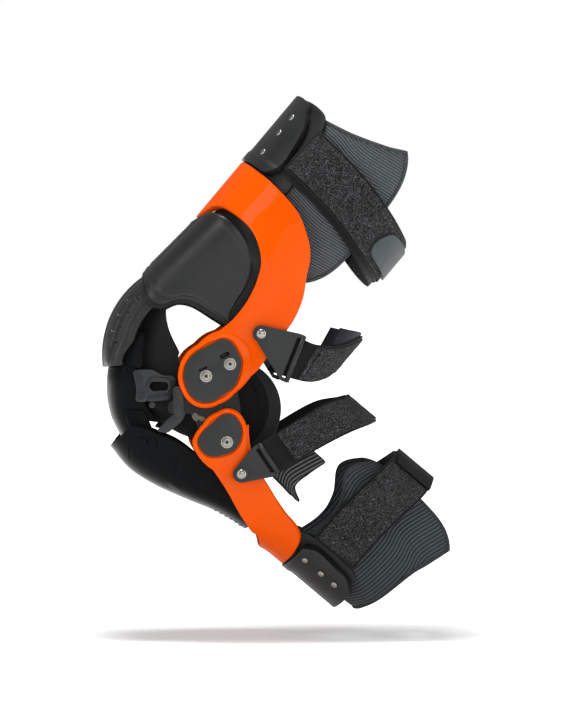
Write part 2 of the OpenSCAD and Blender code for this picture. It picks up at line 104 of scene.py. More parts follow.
def stage_plane(name, corners, colour):
    me = bpy.data.meshes.new(name)
    me.from_pydata(corners, [], [(0, 1, 2, 3)])
    o = bpy.data.objects.new(name, me)
    bpy.context.collection.objects.link(o)
    m, tree, p = finish_material(name + "_paper_painted_shade", colour, 0.9, Emission_Color=linear("#FFFFFF"))
    # The floor's emission is painted shade: it is low near the brace and rises to a plain white glow further out,
    # darkening the floor under the brace beyond the lamps' own shadow.
    at = add(tree, "ShaderNodeTexCoord").outputs["Object"]
    away = add(tree, "ShaderNodeVectorMath", {0: at}, operation="LENGTH")
    glow_with_painted_shade = add(tree, "ShaderNodeMapRange", {"Value": away.outputs["Value"]}, From_Min=0.22, From_Max=0.75,
               To_Min=0.12, To_Max=1.15)
    tree.links.new(glow_with_painted_shade.outputs[0], p.inputs["Emission Strength"])
    me.materials.append(m)
    return o


floor_gap = 0.022
floor_z = cad_box[0][2] - floor_gap
stage_plane("floor", [(x, y, floor_z) for x, y in ((-60, -9), (60, -9), (60, 90), (-60, 90))], "#FFFFFF")

world = bpy.data.worlds.new("studio")
bpy.context.scene.world = world
world.use_nodes = True
world.node_tree.nodes.clear()
seen = add(world.node_tree, "ShaderNodeLightPath")
level = add(world.node_tree, "ShaderNodeMapRange", {"Value": seen.outputs["Is Camera Ray"]},
            To_Min=0.30, To_Max=1.0)
sky = add(world.node_tree, "ShaderNodeBackground", {"Strength": level.outputs[0]}, Color=linear("#FFFFFF"))
add(world.node_tree, "ShaderNodeOutputWorld", {"Surface": sky.outputs[0]})


def soft_light(name, place, aim, size, watts, colour="#FFFFFF"):
    d = bpy.data.lights.new(name, "AREA")
    d.shape, d.size, d.size_y, d.energy = "RECTANGLE", size[0], size[1], watts
    d.color = linear(colour)[:3]
    o = bpy.data.objects.new(name, d)
    bpy.context.collection.objects.link(o)
    o.location = place
    o.rotation_euler = (Vector(aim) - Vector(place)).to_track_quat("-Z", "Y").to_euler()


soft_light("key_left", (-1.3, -1.0, 0.75), (0, 0, 0.0), (0.7, 1.3), 12)
soft_light("fill_front", (0.5, -1.9, 0.6), (0.05, 0, 0.0), (1.2, 0.8), 9)
soft_light("rim_right", (1.3, -0.3, 0.5), (0.05, 0, 0.0), (0.4, 1.3), 8)
soft_light("top", (-0.10, -0.12, 1.3), (0.05, 0, 0.0), (0.36, 0.30), 13)

cam_data = bpy.data.cameras.new("camera")
cam_data.sensor_fit, cam_data.sensor_height = "VERTICAL", 24.0
cam_data.lens = 24.0 * (camera_range - 0.07) / 0.540
camera = bpy.data.objects.new("camera", cam_data)
bpy.context.collection.objects.link(camera)
turn, rise = math.radians(camera_turn), math.radians(camera_rise)
look = Vector((-math.sin(turn) * math.cos(rise), math.cos(turn) * math.cos(rise), -math.sin(rise)))
# The aim lies behind and above the hinges, so that the cuffs and liners fill the frame evenly.
aim_point = Vector((0.0514, -0.071, 0.03375))
camera.location = aim_point - look * (camera_range - 0.071)
camera.rotation_euler = look.to_track_quat("-Z", "Y").to_euler()
bpy.context.scene.camera = camera
bpy.context.scene.view_settings.view_transform = "Standard"

# ---- Thigh frame: the big C-shaped orange shell over the front of the thigh ----
# One injection-moulded nylon shell about 4.6 mm thick, lacquered to a high gloss. Its side arms end
# in round pods whose raised rims hold the hinge cover plates.
pod_in, pod_out = 66.0, 71.0
knee_top, knee_low = (-6.0, 24.75), (1.502, -23.267)
thigh_mid, thigh_fore, thigh_aft = 5, 78, 62
sides = ((-1, "lateral"), (1, "medial"))


def spline(points, t):
    """Smooth curve through the points, t from 0 to 1."""
    p = np.asarray(points, float)
    n = len(p) - 1
    s = min(max(t, 0.0), 1.0) * n
    i = min(int(s), n - 1)
    f = s - i
    a, b, c, d = p[max(i - 1, 0)], p[i], p[i + 1], p[min(i + 2, n)]
    return 0.5 * (2 * b + (c - a) * f + (2 * a - 5 * b + 4 * c - d) * f * f + (3 * b - a - 3 * c + d) * f**3)


def ease(x):
    x = min(max(x, 0.0), 1.0)
    return x * x * (3 - 2 * x)


def boxy(degrees, power):
    s = math.sin(math.radians(degrees))
    return math.copysign(1 - (1 - min(abs(s), 1.0)) ** power, s)


def thigh_half(u):
    return pod_out + 11.0 * ease((u - 26) / 164)


def thigh_at(u, a, off):
    """Thigh surface: u mm up the thigh, a degrees round it from the front, off mm outwards."""
    c = math.cos(math.radians(a))
    across = (thigh_half(u) + off) * boxy(a, 3 - 1.6 * min(max(u, 0) / 100, 1))
    return (u, across, thigh_mid + ((thigh_fore if c > 0 else thigh_aft) + off) * c)


def leg_frame(pivot, degrees):
    """Places leg millimetres (along, across, depth), tilted about a knee pivot, in the brace's metres."""
    c, s = math.cos(math.radians(degrees)), math.sin(math.radians(degrees))
    return lambda p: ((pivot[0] + p[0] * c - p[2] * s) / 1000, p[1] / 1000,
                      (pivot[1] + p[0] * s + p[2] * c) / 1000)


# Thigh points are (up, across, forward); shin points are (down, across, backward).
on_thigh, on_shin = leg_frame(knee_top, 50), leg_frame(knee_low, -40)


def tq(u, v):
    """A point of the side view, u up and v forward, as (u, angle round the thigh)."""
    deep = thigh_fore if v > thigh_mid else thigh_aft
    return (u, math.degrees(math.acos(max(-1, min(1, (v - thigh_mid) / deep)))))


def both_sides(edge):
    return list(edge) + [(u, -a) for u, a in reversed(edge[:-1])]


def mesh_object(name, verts, faces, uv=None):
    """A closed mesh object with outward faces and smooth shading."""
    me = bpy.data.meshes.new(name)
    me.from_pydata([tuple(v) for v in verts], [], faces)
    if uv is not None:
        layer = me.uv_layers.new(name="Cut")
        for loop in me.loops:
            layer.data[loop.index].uv = uv[loop.vertex_index]
    b = bmesh.new()
    b.from_mesh(me)
    bmesh.ops.recalc_face_normals(b, faces=b.faces)
    b.to_mesh(me)
    b.free()
    me.shade_smooth()
    o = bpy.data.objects.new(name, me)
    bpy.context.collection.objects.link(o)
    return o


def wall(name, outer, inner):
    """A closed wall between two grids of points in metres, with its cut's own UV in metres."""
    n, m = len(outer), len(outer[0])
    k = n * m
    verts = [p for row in outer for p in row] + [p for row in inner for p in row]
    faces = []
    for i in range(n - 1):
        for j in range(m - 1):
            q = i * m + j
            faces.append((q, q + 1, q + m + 1, q + m))
            faces.append((k + q, k + q + m, k + q + m + 1, k + q + 1))
        for e in (i * m, i * m + m - 1):
            faces.append((e, e + m, k + e + m, k + e))
    for j in range(m - 1):
        for e in (j, (n - 1) * m + j):
            faces.append((e, e + 1, k + e + 1, k + e))
    grid_points = np.array(outer, float)
    along = np.zeros((n, m))
    across = np.zeros((n, m))
    along[1:] = np.cumsum(np.linalg.norm(np.diff(grid_points, axis=0), axis=2), axis=0)
    across[:, 1:] = np.cumsum(np.linalg.norm(np.diff(grid_points, axis=1), axis=2), axis=1)
    mid = along[:, m // 2]
    uv = [(mid[i], across[i, j] - across[i, -1] / 2) for i in range(n) for j in range(m)]
    return mesh_object(name, verts, faces, uv + uv)


def between(e, f, t, k, bow):
    """k of the way from edge point e to f; bow pushes the two ends of the strip outwards."""
    c = e * (1 - k) + f * k
    return c[0], c[1] + bow * (1 if t < 0.5 else -1) * (1 - (2 * k - 1) ** 4) * abs(2 * t - 1) ** 8


def strip(name, p, q, n, m, low_off, high_off, surface, place, bow=0.0, rise=None):
    """A wall on a surface between edge curves p and q, from one depth to the other."""
    def rows(off, lift):
        out = []
        for i in range(n + 1):
            t = i / n
            e, f = spline(p, t), spline(q, t)
            row = []
            for j in range(m + 1):
                k = j / m
                up = rise(t, k) if lift and rise else 0.0
                row.append(place(surface(*between(e, f, t, k, bow), off + up)))
            out.append(row)
        return out
    return wall(name, rows(high_off, True), rows(low_off, False))


def settle(o):
    """Turns the object's modifiers into plain mesh."""
    bpy.context.view_layer.update()
    deps = bpy.context.evaluated_depsgraph_get()
    me = bpy.data.meshes.new_from_object(o.evaluated_get(deps))
    o.modifiers.clear()
    o.data = me
    return o


def soften(o, width, segments=3, angle=38.0):
    """Rounds the sharp edges by width in metres."""
    b = o.modifiers.new("round", "BEVEL")
    b.width, b.segments, b.limit_method, b.angle_limit = width, segments, "ANGLE", math.radians(angle)
    b.harden_normals = False
    settle(o)
    o.data.shade_smooth()
    return o


def join(name, *parts):
    """One object out of several, keeping their materials."""
    b = bmesh.new()
    materials = []
    for o in parts:
        start = len(b.faces)
        b.from_mesh(o.data)
        b.faces.ensure_lookup_table()
        for f in b.faces[start:]:
            used = o.data.materials[f.material_index] if o.data.materials else None
            if used not in materials:
                materials.append(used)
            f.material_index = materials.index(used)
        bpy.data.objects.remove(o)
    me = bpy.data.meshes.new(name)
    b.to_mesh(me)
    b.free()
    for m in materials:
        me.materials.append(m)
    o = bpy.data.objects.new(name, me)
    bpy.context.collection.objects.link(o)
    return o


def dress(o, material):
    o.data.materials.clear()
    o.data.materials.append(material)
    return o


def fit_to(o, body, slot, *nodes):
    """The finished piece rides on its body and stands for its solids."""
    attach(o, body)
    if nodes:
        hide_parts(*nodes)
    return o


def grain(tree, shader, scale, distance, strength=1.0, detail=2.0, source=None, roughness=None):
    """Moulded surface grain: noise bump, and optionally a spread of roughness."""
    at = source or add(tree, "ShaderNodeTexCoord").outputs["Object"]
    n = add(tree, "ShaderNodeTexNoise", {"Vector": at}, Scale=scale, Detail=detail, Roughness=0.55)
    b = add(tree, "ShaderNodeBump", {"Height": n.outputs["Fac"]}, Strength=strength, Distance=distance)
    tree.links.new(b.outputs[0], shader.inputs["Normal"])
    if roughness:
        wide = add(tree, "ShaderNodeTexNoise", {"Vector": at}, Scale=38.0, Detail=4.0)
        r = add(tree, "ShaderNodeMapRange", {"Value": wide.outputs["Fac"]}, From_Min=0.3, From_Max=0.7,
                To_Min=roughness[0], To_Max=roughness[1])
        tree.links.new(r.outputs[0], shader.inputs["Roughness"])
    return b


# Lacquered glass-filled nylon: saturated orange under a clear coat, with the faint ripple that
# lacquer leaves (about 2 mm between crests) and a slightly deeper tone where the colour pools.
orange_lacquer, tree, shader = finish_material(
    "lacquered_nylon_orange", "#D84E00", 0.36, Coat_Weight=0.16, Coat_Roughness=0.05, Specular_IOR_Level=0.0)
where = add(tree, "ShaderNodeTexCoord").outputs["Object"]
pool = add(tree, "ShaderNodeTexNoise", {"Vector": where}, Scale=14.0, Detail=2.0)
two_tone(tree, shader, pool.outputs["Fac"], "#DA5000", "#C84200")
grain(tree, shader, 480.0, 0.00003, 0.35, 1.0, where)

thigh_rear = [tq(12, -24.3), tq(24, -26.5), tq(38, -25.5), tq(56, -24.5), tq(72, -22.5), tq(87, -17.5),
              tq(101, -9), tq(114, -1.5), tq(126, 13), tq(134, 30), (138, 50), (139, 25), (139, 0)]
thigh_window = [tq(12, 21.4), tq(24, 16.5), tq(38, 13.2), tq(50, 12.8), tq(62, 14.2), tq(75, 18),
                tq(87, 24.3), tq(96, 35), tq(101.5, 48), (102, 40), (99, 22), (89, 9), (84, 0)]


def dished(t, k):
    """The arms are a little hollow between two fuller edges."""
    return -0.9 * math.sin(math.pi * k) ** 2 * ease(abs(2 * t - 1) * 1.6)


arms = soften(strip("thigh_arms", both_sides(thigh_rear), both_sides(thigh_window), 150, 14, -4.6, 0.0,
                    thigh_at, on_thigh, rise=dished), 0.0016, 4)

cover_top = [(-16.9, 13.2), (-6.9, 18.6), (2.7, 18.8), (24.5, 10.1), (27.4, 3.6), (24.9, -4.6), (20.6, -13.7),
             (3.8, -20.9), (-16.6, -15.4), (-23.1, -7.9), (-23.4, 1.5)]
cover_low = [(-11.4, 14.6), (-12.6, 6.4), (-9.6, -14.6), (-1.6, -18.8), (8.5, -14.6), (13.9, -7.0),
             (14.8, 3.3), (6.4, 15.6), (-1.6, 18.6)]


def cornered(points, radius, per=7):
    """A closed outline with straight sides and rounded corners."""
    p = [np.array(q, float) for q in points]
    out = []
    for i, q in enumerate(p):
        a, b = p[i - 1] - q, p[(i + 1) % len(p)] - q
        a = q + a / np.linalg.norm(a) * min(radius, 0.46 * np.linalg.norm(a))
        b = q + b / np.linalg.norm(b) * min(radius, 0.46 * np.linalg.norm(b))
        out += [a * (1 - t) ** 2 + q * 2 * t * (1 - t) + b * t * t for t in np.linspace(0, 1, per)]
    return np.array(out)


def reach(outline, angle):
    """Distance from the pivot to the outline in that direction."""
    a = np.degrees(np.arctan2(outline[:, 1], outline[:, 0]))
    order = np.argsort(a)
    return np.interp(angle, a[order], np.hypot(outline[:, 0], outline[:, 1])[order], period=360)


def pod(name, side, outline, arm_angle, arm_reach, place, turns=144):
    """A hinge pod: a disc whose raised rim follows the cover plate and runs out into the arm."""
    loops = []
    for i in range(turns):
        g = 360 * i / turns - 180
        away = abs((g - arm_angle + 180) % 360 - 180)
        on_arm = ease(1 - away / 78)
        edge = float(reach(outline, g)) + 0.7
        out = edge + 3.7 + max(arm_reach - edge - 3.7, 0.0) * on_arm
        crest = edge + 1.3
        drop = 0.7 * on_arm
        rim = pod_out - drop
        rows = [(0.0, pod_in), (out - 0.6, pod_in), (out, pod_in + 0.7), (out, rim - 1.3)]
        for step in range(5):
            w = step / 4
            rows.append((out - 0.35 - (out - 0.35 - crest - 0.5) * w,
                         rim - 0.6 + 2.1 * math.sin(w * math.pi / 2) ** 0.9))
        rows += [(crest - 0.3, rim + 1.65), (edge + 0.4, rim + 1.4), (edge, rim + 0.9),
                 (edge, pod_out + 0.05), (0.0, pod_out + 0.05)]
        c, s = math.cos(math.radians(g)), math.sin(math.radians(g))
        loops.append([place((r * c, side * y, r * s)) for r, y in rows])
    m = len(loops[0])
    verts = [loops[0][0], loops[0][-1]] + [p for loop in loops for p in loop[1:-1]]
    faces = []
    for i in range(turns):
        a, b = 2 + i * (m - 2), 2 + (i + 1) % turns * (m - 2)
        faces.append((0, a, b))
        faces.append((1, b + m - 3, a + m - 3))
        for j in range(m - 3):
            faces.append((a + j, a + j + 1, b + j + 1, b + j))
    return mesh_object(name, verts, faces)


outline_top = cornered(cover_top, 5.0)
thigh_shell = join("thigh_frame_shell", arms,
                   *[pod("pod", side, outline_top, -13.0, 36.0, on_thigh) for side in (-1, 1)])
thigh_shell.data.set_sharp_from_angle(angle=math.radians(50))
fit_to(dress(thigh_shell, orange_lacquer), "thigh", "orange_shell", "thigh_frame")

# ---- Hinge cover plates: flat anthracite plates sunk inside the pod rims ----
# Blanked and powder-coated aluminium, 2.6 mm thick, with a fine even grain that kills the shine.
anthracite, tree, shader = finish_material("powder_coated_aluminium", "#1B1D1E", 0.5, Specular_IOR_Level=0.3)
grain(tree, shader, 2600.0, 0.00003, 0.6, 1.0, roughness=(0.40, 0.52))
# A near-black material for painted shade. It fills the slots behind the cover plates and the screw sockets, where
# there is only shade.
painted_shade_black, tree, shader = finish_material("painted_shade_recess_black", "#060606", 0.7)
grain(tree, shader, 1500.0, 0.00002)


def prism(name, verts):
    """A closed solid between two outlines of as many points, one after the other."""
    n = len(verts) // 2
    walls = [(i, (i + 1) % n, n + (i + 1) % n, n + i) for i in range(n)]
    return mesh_object(name, verts, [tuple(range(n)), tuple(range(n, 2 * n))] + walls)


def plate(name, outline, side, a, b, place, rounding=0.0006, holes=()):
    """A flat plate across the brace from distance a to b, with cut-outs."""
    o = prism(name, [place((p[0], side * y, p[1])) for y in (a, b) for p in outline])
    for hole in holes:
        cut = plate("cut", hole, side, a - 3, b + 3, place, 0)
        mod = o.modifiers.new("cut", "BOOLEAN")
        mod.operation, mod.object, mod.solver = "DIFFERENCE", cut, "EXACT"
        settle(o)
        bpy.data.objects.remove(cut)
    if rounding:
        soften(o, rounding, 3, 50)
        o.data.set_sharp_from_angle(angle=math.radians(55))
    return o


def world_place(p):
    return (p[0] / 1000, p[1] / 1000, p[2] / 1000)


def slot_outline(x, z, length, width, degrees, n=10):
    c, s = math.cos(math.radians(degrees)), math.sin(math.radians(degrees))
    out = []
    for end in (1, -1):
        for i in range(n + 1):
            g = math.radians(-90 + 180 * i / n + (0 if end > 0 else 180))
            px, pz = end * (length - width) / 2 + width / 2 * math.cos(g), width / 2 * math.sin(g)
            out.append((x + px * c - pz * s, z + px * s + pz * c))
    return out


for side, word in sides:
    slots = [slot_outline(16.2, 0.3, 7.8, 3.4, -24), slot_outline(-2.0, 6.2, 7.0, 1.8, -24)]
    o = plate("upper_cover_" + word, outline_top, side, 71.1, 73.3, on_thigh, 0.0006, slots)
    fit_to(dress(o, anthracite), "thigh", "cover_metal", "upper_hinge_cover_" + word)
    # Near-black sheets behind the cover slots paint the shade inside them.
    back = [plate("slot_back", slot_outline(*q, -22), side, 71.06, 71.25, on_thigh, 0)
            for q in ((16.2, 0.3, 8.8, 4.4), (-2.0, 6.2, 8.0, 3.0))]
    fit_to(dress(join("upper_slot_backs_" + word, *back), painted_shade_black), "thigh", "cover_metal")


shin_aft = 63


def shin_half(s):
    return pod_out - 10.0 * ease(s / 110)


def shin_mid(s):
    return -17 * ease(s / 90)


def shin_deep(s):
    return 80 - 18 * ease(s / 90)


def shin_at(s, a, off):
    """Shin surface: s mm down the shin, a degrees round it from the front, off mm outwards."""
    c = math.cos(math.radians(a))
    return (s, (shin_half(s) + off) * boxy(a, 3 - 1.6 * min(max(s, 0) / 100, 1)),
            -shin_mid(s) - ((shin_deep(s) if c > 0 else shin_aft) + off) * c)


outline_low = cornered([(x, -z) for x, z in cover_low], 5.5)
for side, word in sides:
    o = plate("lower_cover_" + word, outline_low, side, 71.1, 73.3, on_shin, 0.0006)
    fit_to(dress(o, anthracite), "shin", "cover_metal", "lower_hinge_cover_" + word)

# ---- Screws and rivets: bright steel heads on the covers, cuffs and clips ----
# Turned stainless button heads with a drive socket, and plain domed rivet heads. A tree raises each
# head from a disc in turned steps and sets one on every marked point, facing the way it says.
bright_steel, tree, shader = finish_material("turned_stainless_steel", "#8E8B85", 0.3, Metallic=1.0)
grain(tree, shader, 900.0, 0.00004, 0.5, 1.0, roughness=(0.24, 0.40))


def new_tree(name, inputs):
    """A Geometry Nodes tree with a mesh in, a mesh out and named inputs: returns it and its input node."""
    tree = bpy.data.node_groups.new(name, "GeometryNodeTree")
    tree.interface.new_socket("Geometry", in_out="INPUT", socket_type="NodeSocketGeometry")
    for label, kind in inputs:
        tree.interface.new_socket(label, in_out="INPUT", socket_type="NodeSocket" + kind)
    tree.interface.new_socket("Geometry", in_out="OUTPUT", socket_type="NodeSocketGeometry")
    return tree, add(tree, "NodeGroupInput")


def grown(me, tree, values):
    """The mesh put through a tree with its inputs set, as a plain object of the same name."""
    o = bpy.data.objects.new(me.name, me)
    bpy.context.collection.objects.link(o)
    mod = o.modifiers.new("tree", "NODES")
    mod.node_group = tree
    ids = {i.name: i.identifier for i in tree.interface.items_tree if i.in_out == "INPUT"}
    for label, value in values.items():
        mod[ids[label]] = value
    return settle(o)


def head_tree(name, steps, material, socket=None):
    """Turned heads on points: each step raises the last face and scales it.

    The socket is a hexagon painted near-black, a painted shade for the recess, given as its shares of the head:
    radius, depth and height of its middle.
    """
    tree, source = new_tree(name, (("Head radius", "Float"), ("Head height", "Float")))
    radius, height = source.outputs["Head radius"], source.outputs["Head height"]
    disc = add(tree, "GeometryNodeMeshCircle", {"Radius": radius}, fill_type="NGON", Vertices=28)
    shape, top = disc.outputs[0], None
    for lift, size in steps:
        links = {"Mesh": shape, "Offset Scale": times(tree, height, lift)}
        if top is not None:
            links["Selection"] = top
        up = add(tree, "GeometryNodeExtrudeMesh", links, mode="FACES")
        narrow = add(tree, "GeometryNodeScaleElements",
                     {"Geometry": up.outputs["Mesh"], "Selection": up.outputs["Top"]}, domain="FACE", Scale=size)
        shape, top = narrow.outputs[0], up.outputs["Top"]
    if socket:
        hexagon = add(tree, "GeometryNodeMeshCylinder",
                      {"Radius": times(tree, radius, socket[0]), "Depth": times(tree, height, socket[1])}, Vertices=6)
        up = add(tree, "ShaderNodeCombineXYZ", {"Z": times(tree, height, socket[2])})
        raised = add(tree, "GeometryNodeTransform", {"Geometry": hexagon.outputs[0], "Translation": up.outputs[0]})
        marked = add(tree, "GeometryNodeStoreNamedAttribute", {"Geometry": raised.outputs[0]},
                     data_type="BOOLEAN", domain="FACE", Name="socket")
        next(i for i in marked.inputs if i.name == "Value" and i.enabled).default_value = True
        both = add(tree, "GeometryNodeJoinGeometry")
        tree.links.new(shape, both.inputs[0])
        tree.links.new(marked.outputs[0], both.inputs[0])
        shape = both.outputs[0]
    facing = add(tree, "GeometryNodeInputNamedAttribute", data_type="FLOAT_VECTOR", Name="facing")
    turned = add(tree, "FunctionNodeAlignRotationToVector", {"Vector": facing.outputs[0]}, axis="Z")
    placed = add(tree, "GeometryNodeInstanceOnPoints",
                 {"Points": source.outputs[0], "Instance": shape, "Rotation": turned.outputs[0]})
    plain = add(tree, "GeometryNodeRealizeInstances", {"Geometry": placed.outputs[0]})
    painted = add(tree, "GeometryNodeSetMaterial", {"Geometry": plain.outputs[0]}, Material=material)
    if socket:
        # The socket faces take the near-black painted shade material.
        dark = add(tree, "GeometryNodeInputNamedAttribute", data_type="BOOLEAN", Name="socket")
        painted = add(tree, "GeometryNodeSetMaterial",
                      {"Geometry": painted.outputs[0], "Selection": dark.outputs[0]}, Material=painted_shade_black)
    add(tree, "NodeGroupOutput", {"Geometry": painted.outputs[0]})
    return tree


screw_steps = ((0.3, 1.0), (0.1, 0.94), (0.0, 0.82), (-0.3, 0.94), (0.0, 0.92), (0.75, 0.96), (0.15, 0.8),
               (0.0, 0.8))
hex_socket = (0.3, 0.5, 0.84)
screw_heads = head_tree("Button screw heads", screw_steps, bright_steel, hex_socket)
rivet_steps = ((0.3, 1.0), (0.35, 0.86), (0.22, 0.62), (0.13, 0.3))
rivet_heads = head_tree("Domed rivet heads", rivet_steps, bright_steel)


def heads(name, tree, spots, radius, height, body, *nodes):
    """Heads on spots of (place, outward direction), in metres."""
    me = bpy.data.meshes.new(name)
    me.from_pydata([s[0] for s in spots], [], [])
    facing = me.attributes.new("facing", "FLOAT_VECTOR", "POINT")
    for i, s in enumerate(spots):
        facing.data[i].vector = Vector(s[1]).normalized()
    o = grown(me, tree, {"Head radius": radius, "Head height": height})
    o.data.shade_smooth()
    o.data.set_sharp_from_angle(angle=math.radians(35))
    return fit_to(o, body, "steel", *nodes)


def lift(surface, place, u, a, off, step=1.0):
    """A point of a surface and the way it faces."""
    p, q = Vector(place(surface(u, a, off))), Vector(place(surface(u, a, off + step)))
    along = Vector(place(surface(u + 1, a, off))) - p
    around = Vector(place(surface(u, a + 1, off))) - p
    normal = along.cross(around)
    if normal.dot(q - p) < 0:
        normal = -normal
    return p, normal.normalized()


for side, word in sides:
    spots = [(on_thigh((x, side * 73.2, z)), (0, side, 0)) for x, z in ((-4.7, 0.9), (13.8, -7.1))]
    heads("upper_screws_" + word, screw_heads, spots, 0.0046, 0.0016, "thigh", "upper_hinge_screws_" + word)
    spots = [(on_shin((6.3, side * 73.2, -0.6)), (0, side, 0))]
    heads("lower_screw_" + word, screw_heads, spots, 0.0046, 0.0016, "shin", "lower_hinge_screw_" + word)
heads("thigh_cuff_rivet_heads", rivet_heads,
      [lift(thigh_at, on_thigh, u, side * 25, -0.1) for side in (-1, 1) for u in (187, 172, 153)],
      0.0028, 0.0016, "thigh", "thigh_cuff_rivets")
heads("shin_cuff_rivet_heads", rivet_heads,
      [lift(shin_at, on_shin, s, side * 39, -0.1) for side in (-1, 1) for s in (110, 126, 139)],
      0.0026, 0.0016, "shin", "shin_cuff_rivets")

# ---- Cuff caps and anchor plates: dark tongues that carry the straps above and below ----
# Satin black nylon mouldings with spark-eroded grain. Each cap is riveted over an anchor plate that
# sits behind it and shows as a second edge.
satin_nylon, tree, shader = finish_material("spark_grained_nylon", "#151617", 0.45, Specular_IOR_Level=0.32)
grain(tree, shader, 2200.0, 0.00005, 0.7, 2.0, roughness=(0.36, 0.50))
soft_nylon, tree, shader = finish_material("soft_black_nylon", "#0B0B0C", 0.5, Specular_IOR_Level=0.3)
grain(tree, shader, 1800.0, 0.00005, 0.7, 2.0, roughness=(0.44, 0.58))



def cap_rise(edge):
    """A raised band along the edge next to the frame, and flanks a little hollow."""
    return lambda t, k: (0.9 * ease(edge(k) / 0.05)
                         - 1.0 * math.sin(math.pi * k) * ease(2 * abs(2 * t - 1) - 1))


def cuff(name, top, low, n, m, depths, surface, place, bow, body, node, rise=None):
    """A cuff moulding between two edges: a cap has the rise and big rounds, an anchor plate neither."""
    o = strip(name, both_sides(top), both_sides(low), n, m, *depths, surface, place, bow, rise)
    o = soften(o, 0.0022, 4) if rise else soften(o, 0.0011)
    fit_to(dress(o, satin_nylon if rise else soft_nylon), body, "dark_shell", node)


cap_depths, anchor_depths = (-5.4, 0.4), (-8.1, -5.7)
cuff("thigh_cap", [(197, 31), (203, 25.5), (204.3, 14), (204, 0)],
     [(141.5, 40), (140.5, 36), (140.5, 20), (140.5, 0)], 64, 34, cap_depths, thigh_at, on_thigh, 8, "thigh", "thigh_cuff_cap", cap_rise(lambda k: k - 0.84))
cuff("thigh_anchor", [(190, 50), (201, 44), (205, 32), (205, 0)], [(126, 56), (122, 26), (121, 0)],
     60, 20, anchor_depths, thigh_at, on_thigh, 4, "thigh", "thigh_anchor_plate")
cuff("shin_cap", [(102.5, 47), (102.5, 22), (102.5, 0)], [(153, 40), (153, 18), (153, 0)],
     64, 30, cap_depths, shin_at, on_shin, 8, "shin", "shin_cuff_cap", cap_rise(lambda k: 0.16 - k))
cuff("shin_anchor", [(92, 52), (90, 26), (89, 0)], [(148, 52), (149, 26), (149, 0)],
     60, 20, anchor_depths, shin_at, on_shin, 5, "shin", "shin_anchor_plate")

# ---- Shin frame: the orange shell down the front of the shin ----
# Moulded and lacquered like the thigh frame, with a narrower pod and a cuff end.
def sq(s, w):
    """A point of the side view, s down and w forward, as (s, angle round the shin)."""
    deep = shin_deep(s) if w > shin_mid(s) else shin_aft
    return (s, math.degrees(math.acos(max(-1, min(1, (w - shin_mid(s)) / deep)))))


shin_back = [sq(10, -20.6), sq(18, -12), sq(28, -4), sq(40, 2), sq(52, 6.5), sq(64, 11), sq(76, 14.6),
             sq(88, 17), sq(96, 22), (100, 38), (101, 18), (101, 0)]
shin_front = [sq(10, 23), sq(18, 25.2), sq(26, 27.6), sq(34, 30.4), sq(42, 33.6), sq(50, 36.6), sq(58, 39),
              sq(65, 41), (71, 30), (76, 20), (78, 10), (79, 0)]
arms = soften(strip("shin_arms", both_sides(shin_front), both_sides(shin_back), 140, 12, -4.6, 0.0,
                    shin_at, on_shin, rise=dished), 0.0016, 4)
shin_shell = join("shin_frame_shell", arms,
                  *[pod("pod", side, outline_low, -30.0, 30.0, on_shin) for side in (-1, 1)])
shin_shell.data.set_sharp_from_angle(angle=math.radians(50))
fit_to(dress(shin_shell, orange_lacquer), "shin", "orange_shell", "shin_frame")

# ---- Patella shield: the dark shell that fills the window of the thigh frame ----
# Satin nylon moulding with a raised bead round its edge, set in a black rubber gasket, and a soft
# rubber lip along its lower edge.
def shield_at(u, a, off):
    c = math.cos(math.radians(a))
    deep = thigh_fore + 0.086 * max(84 - u, 0)
    return (u, (thigh_half(u) - 7 + off) * boxy(a, 3), thigh_mid + (deep + off) * c)


def gasket_at(u, a, off):
    """Just inside the shield, and tucked behind the frame above it."""
    x, y, z = shield_at(u, a, off)
    under = thigh_at(u, a, off - 2.6)
    t = ease((u - 76) / 12)
    return (x, y * (1 - t) + under[1] * t, z * (1 - t) + under[2] * t)


shield_top = [tq(40, 17), tq(52, 19), tq(66, 21), tq(80, 27.5), tq(90, 39), tq(95, 54),
              (95.5, 36), (92, 20), (84, 8), (81, 0)]
shield_low = [tq(37.5, 12), (36, 77), (33, 62), (26, 53), (16, 48), (13, 40), (18, 26), (26, 10), (28, 0)]
gasket_top = [tq(40, 4), tq(56, 5), tq(74, 9), tq(92, 17), tq(104, 36),
              (109, 50), (106, 30), (95, 12), (90, 0)]
black_rubber, tree, shader = finish_material("black_rubber", "#040404", 0.55, Specular_IOR_Level=0.25)
grain(tree, shader, 1600.0, 0.00004, 0.8, 2.0, roughness=(0.48, 0.62))


def shield_bead(t, k):
    """A raised bead just inside the edge, and a soft crown between."""
    side_edge = min(t, 1 - t)
    b = math.exp(-((k - 0.05) / 0.022) ** 2) + 0.8 * math.exp(-((k - 0.95) / 0.02) ** 2)
    b *= ease(side_edge * 30)
    front = math.exp(-(((abs(2 * t - 1)) - 0.15) / 0.014) ** 2) * ease((k - 0.05) * 20) * ease((0.8 - k) * 12)
    step = ease((0.90 - k) * 30) - ease((0.02 - k) * 50)
    return 0.45 * b - 0.9 * front + 0.5 * step - 0.5


o = strip("patella_shield", both_sides(shield_top), both_sides(shield_low), 180, 60, -3.0, -0.5,
          shield_at, on_thigh, rise=shield_bead)
fit_to(dress(soften(o, 0.0009), satin_nylon), "thigh", "dark_shell", "thigh_shield")
gasket_low = [(u - 4, a * 0.985 + 0.2) for u, a in shield_top]
o = strip("shield_gasket", both_sides(gasket_top), both_sides(gasket_low), 120, 8, -5.6, -3.3, gasket_at, on_thigh)
fit_to(dress(soften(o, 0.0010), black_rubber), "thigh", "rubber_edge")
o = strip("shield_lip", both_sides([(q[0] + 1.5, q[1]) for q in shield_low]),
          both_sides([(q[0] - 3.4, q[1] + 1.0) for q in shield_low]), 120, 4, -5.2, -1.4, shield_at, on_thigh)
fit_to(dress(soften(o, 0.0012, 3), black_rubber), "thigh", "rubber_edge", "thigh_shield_rim")

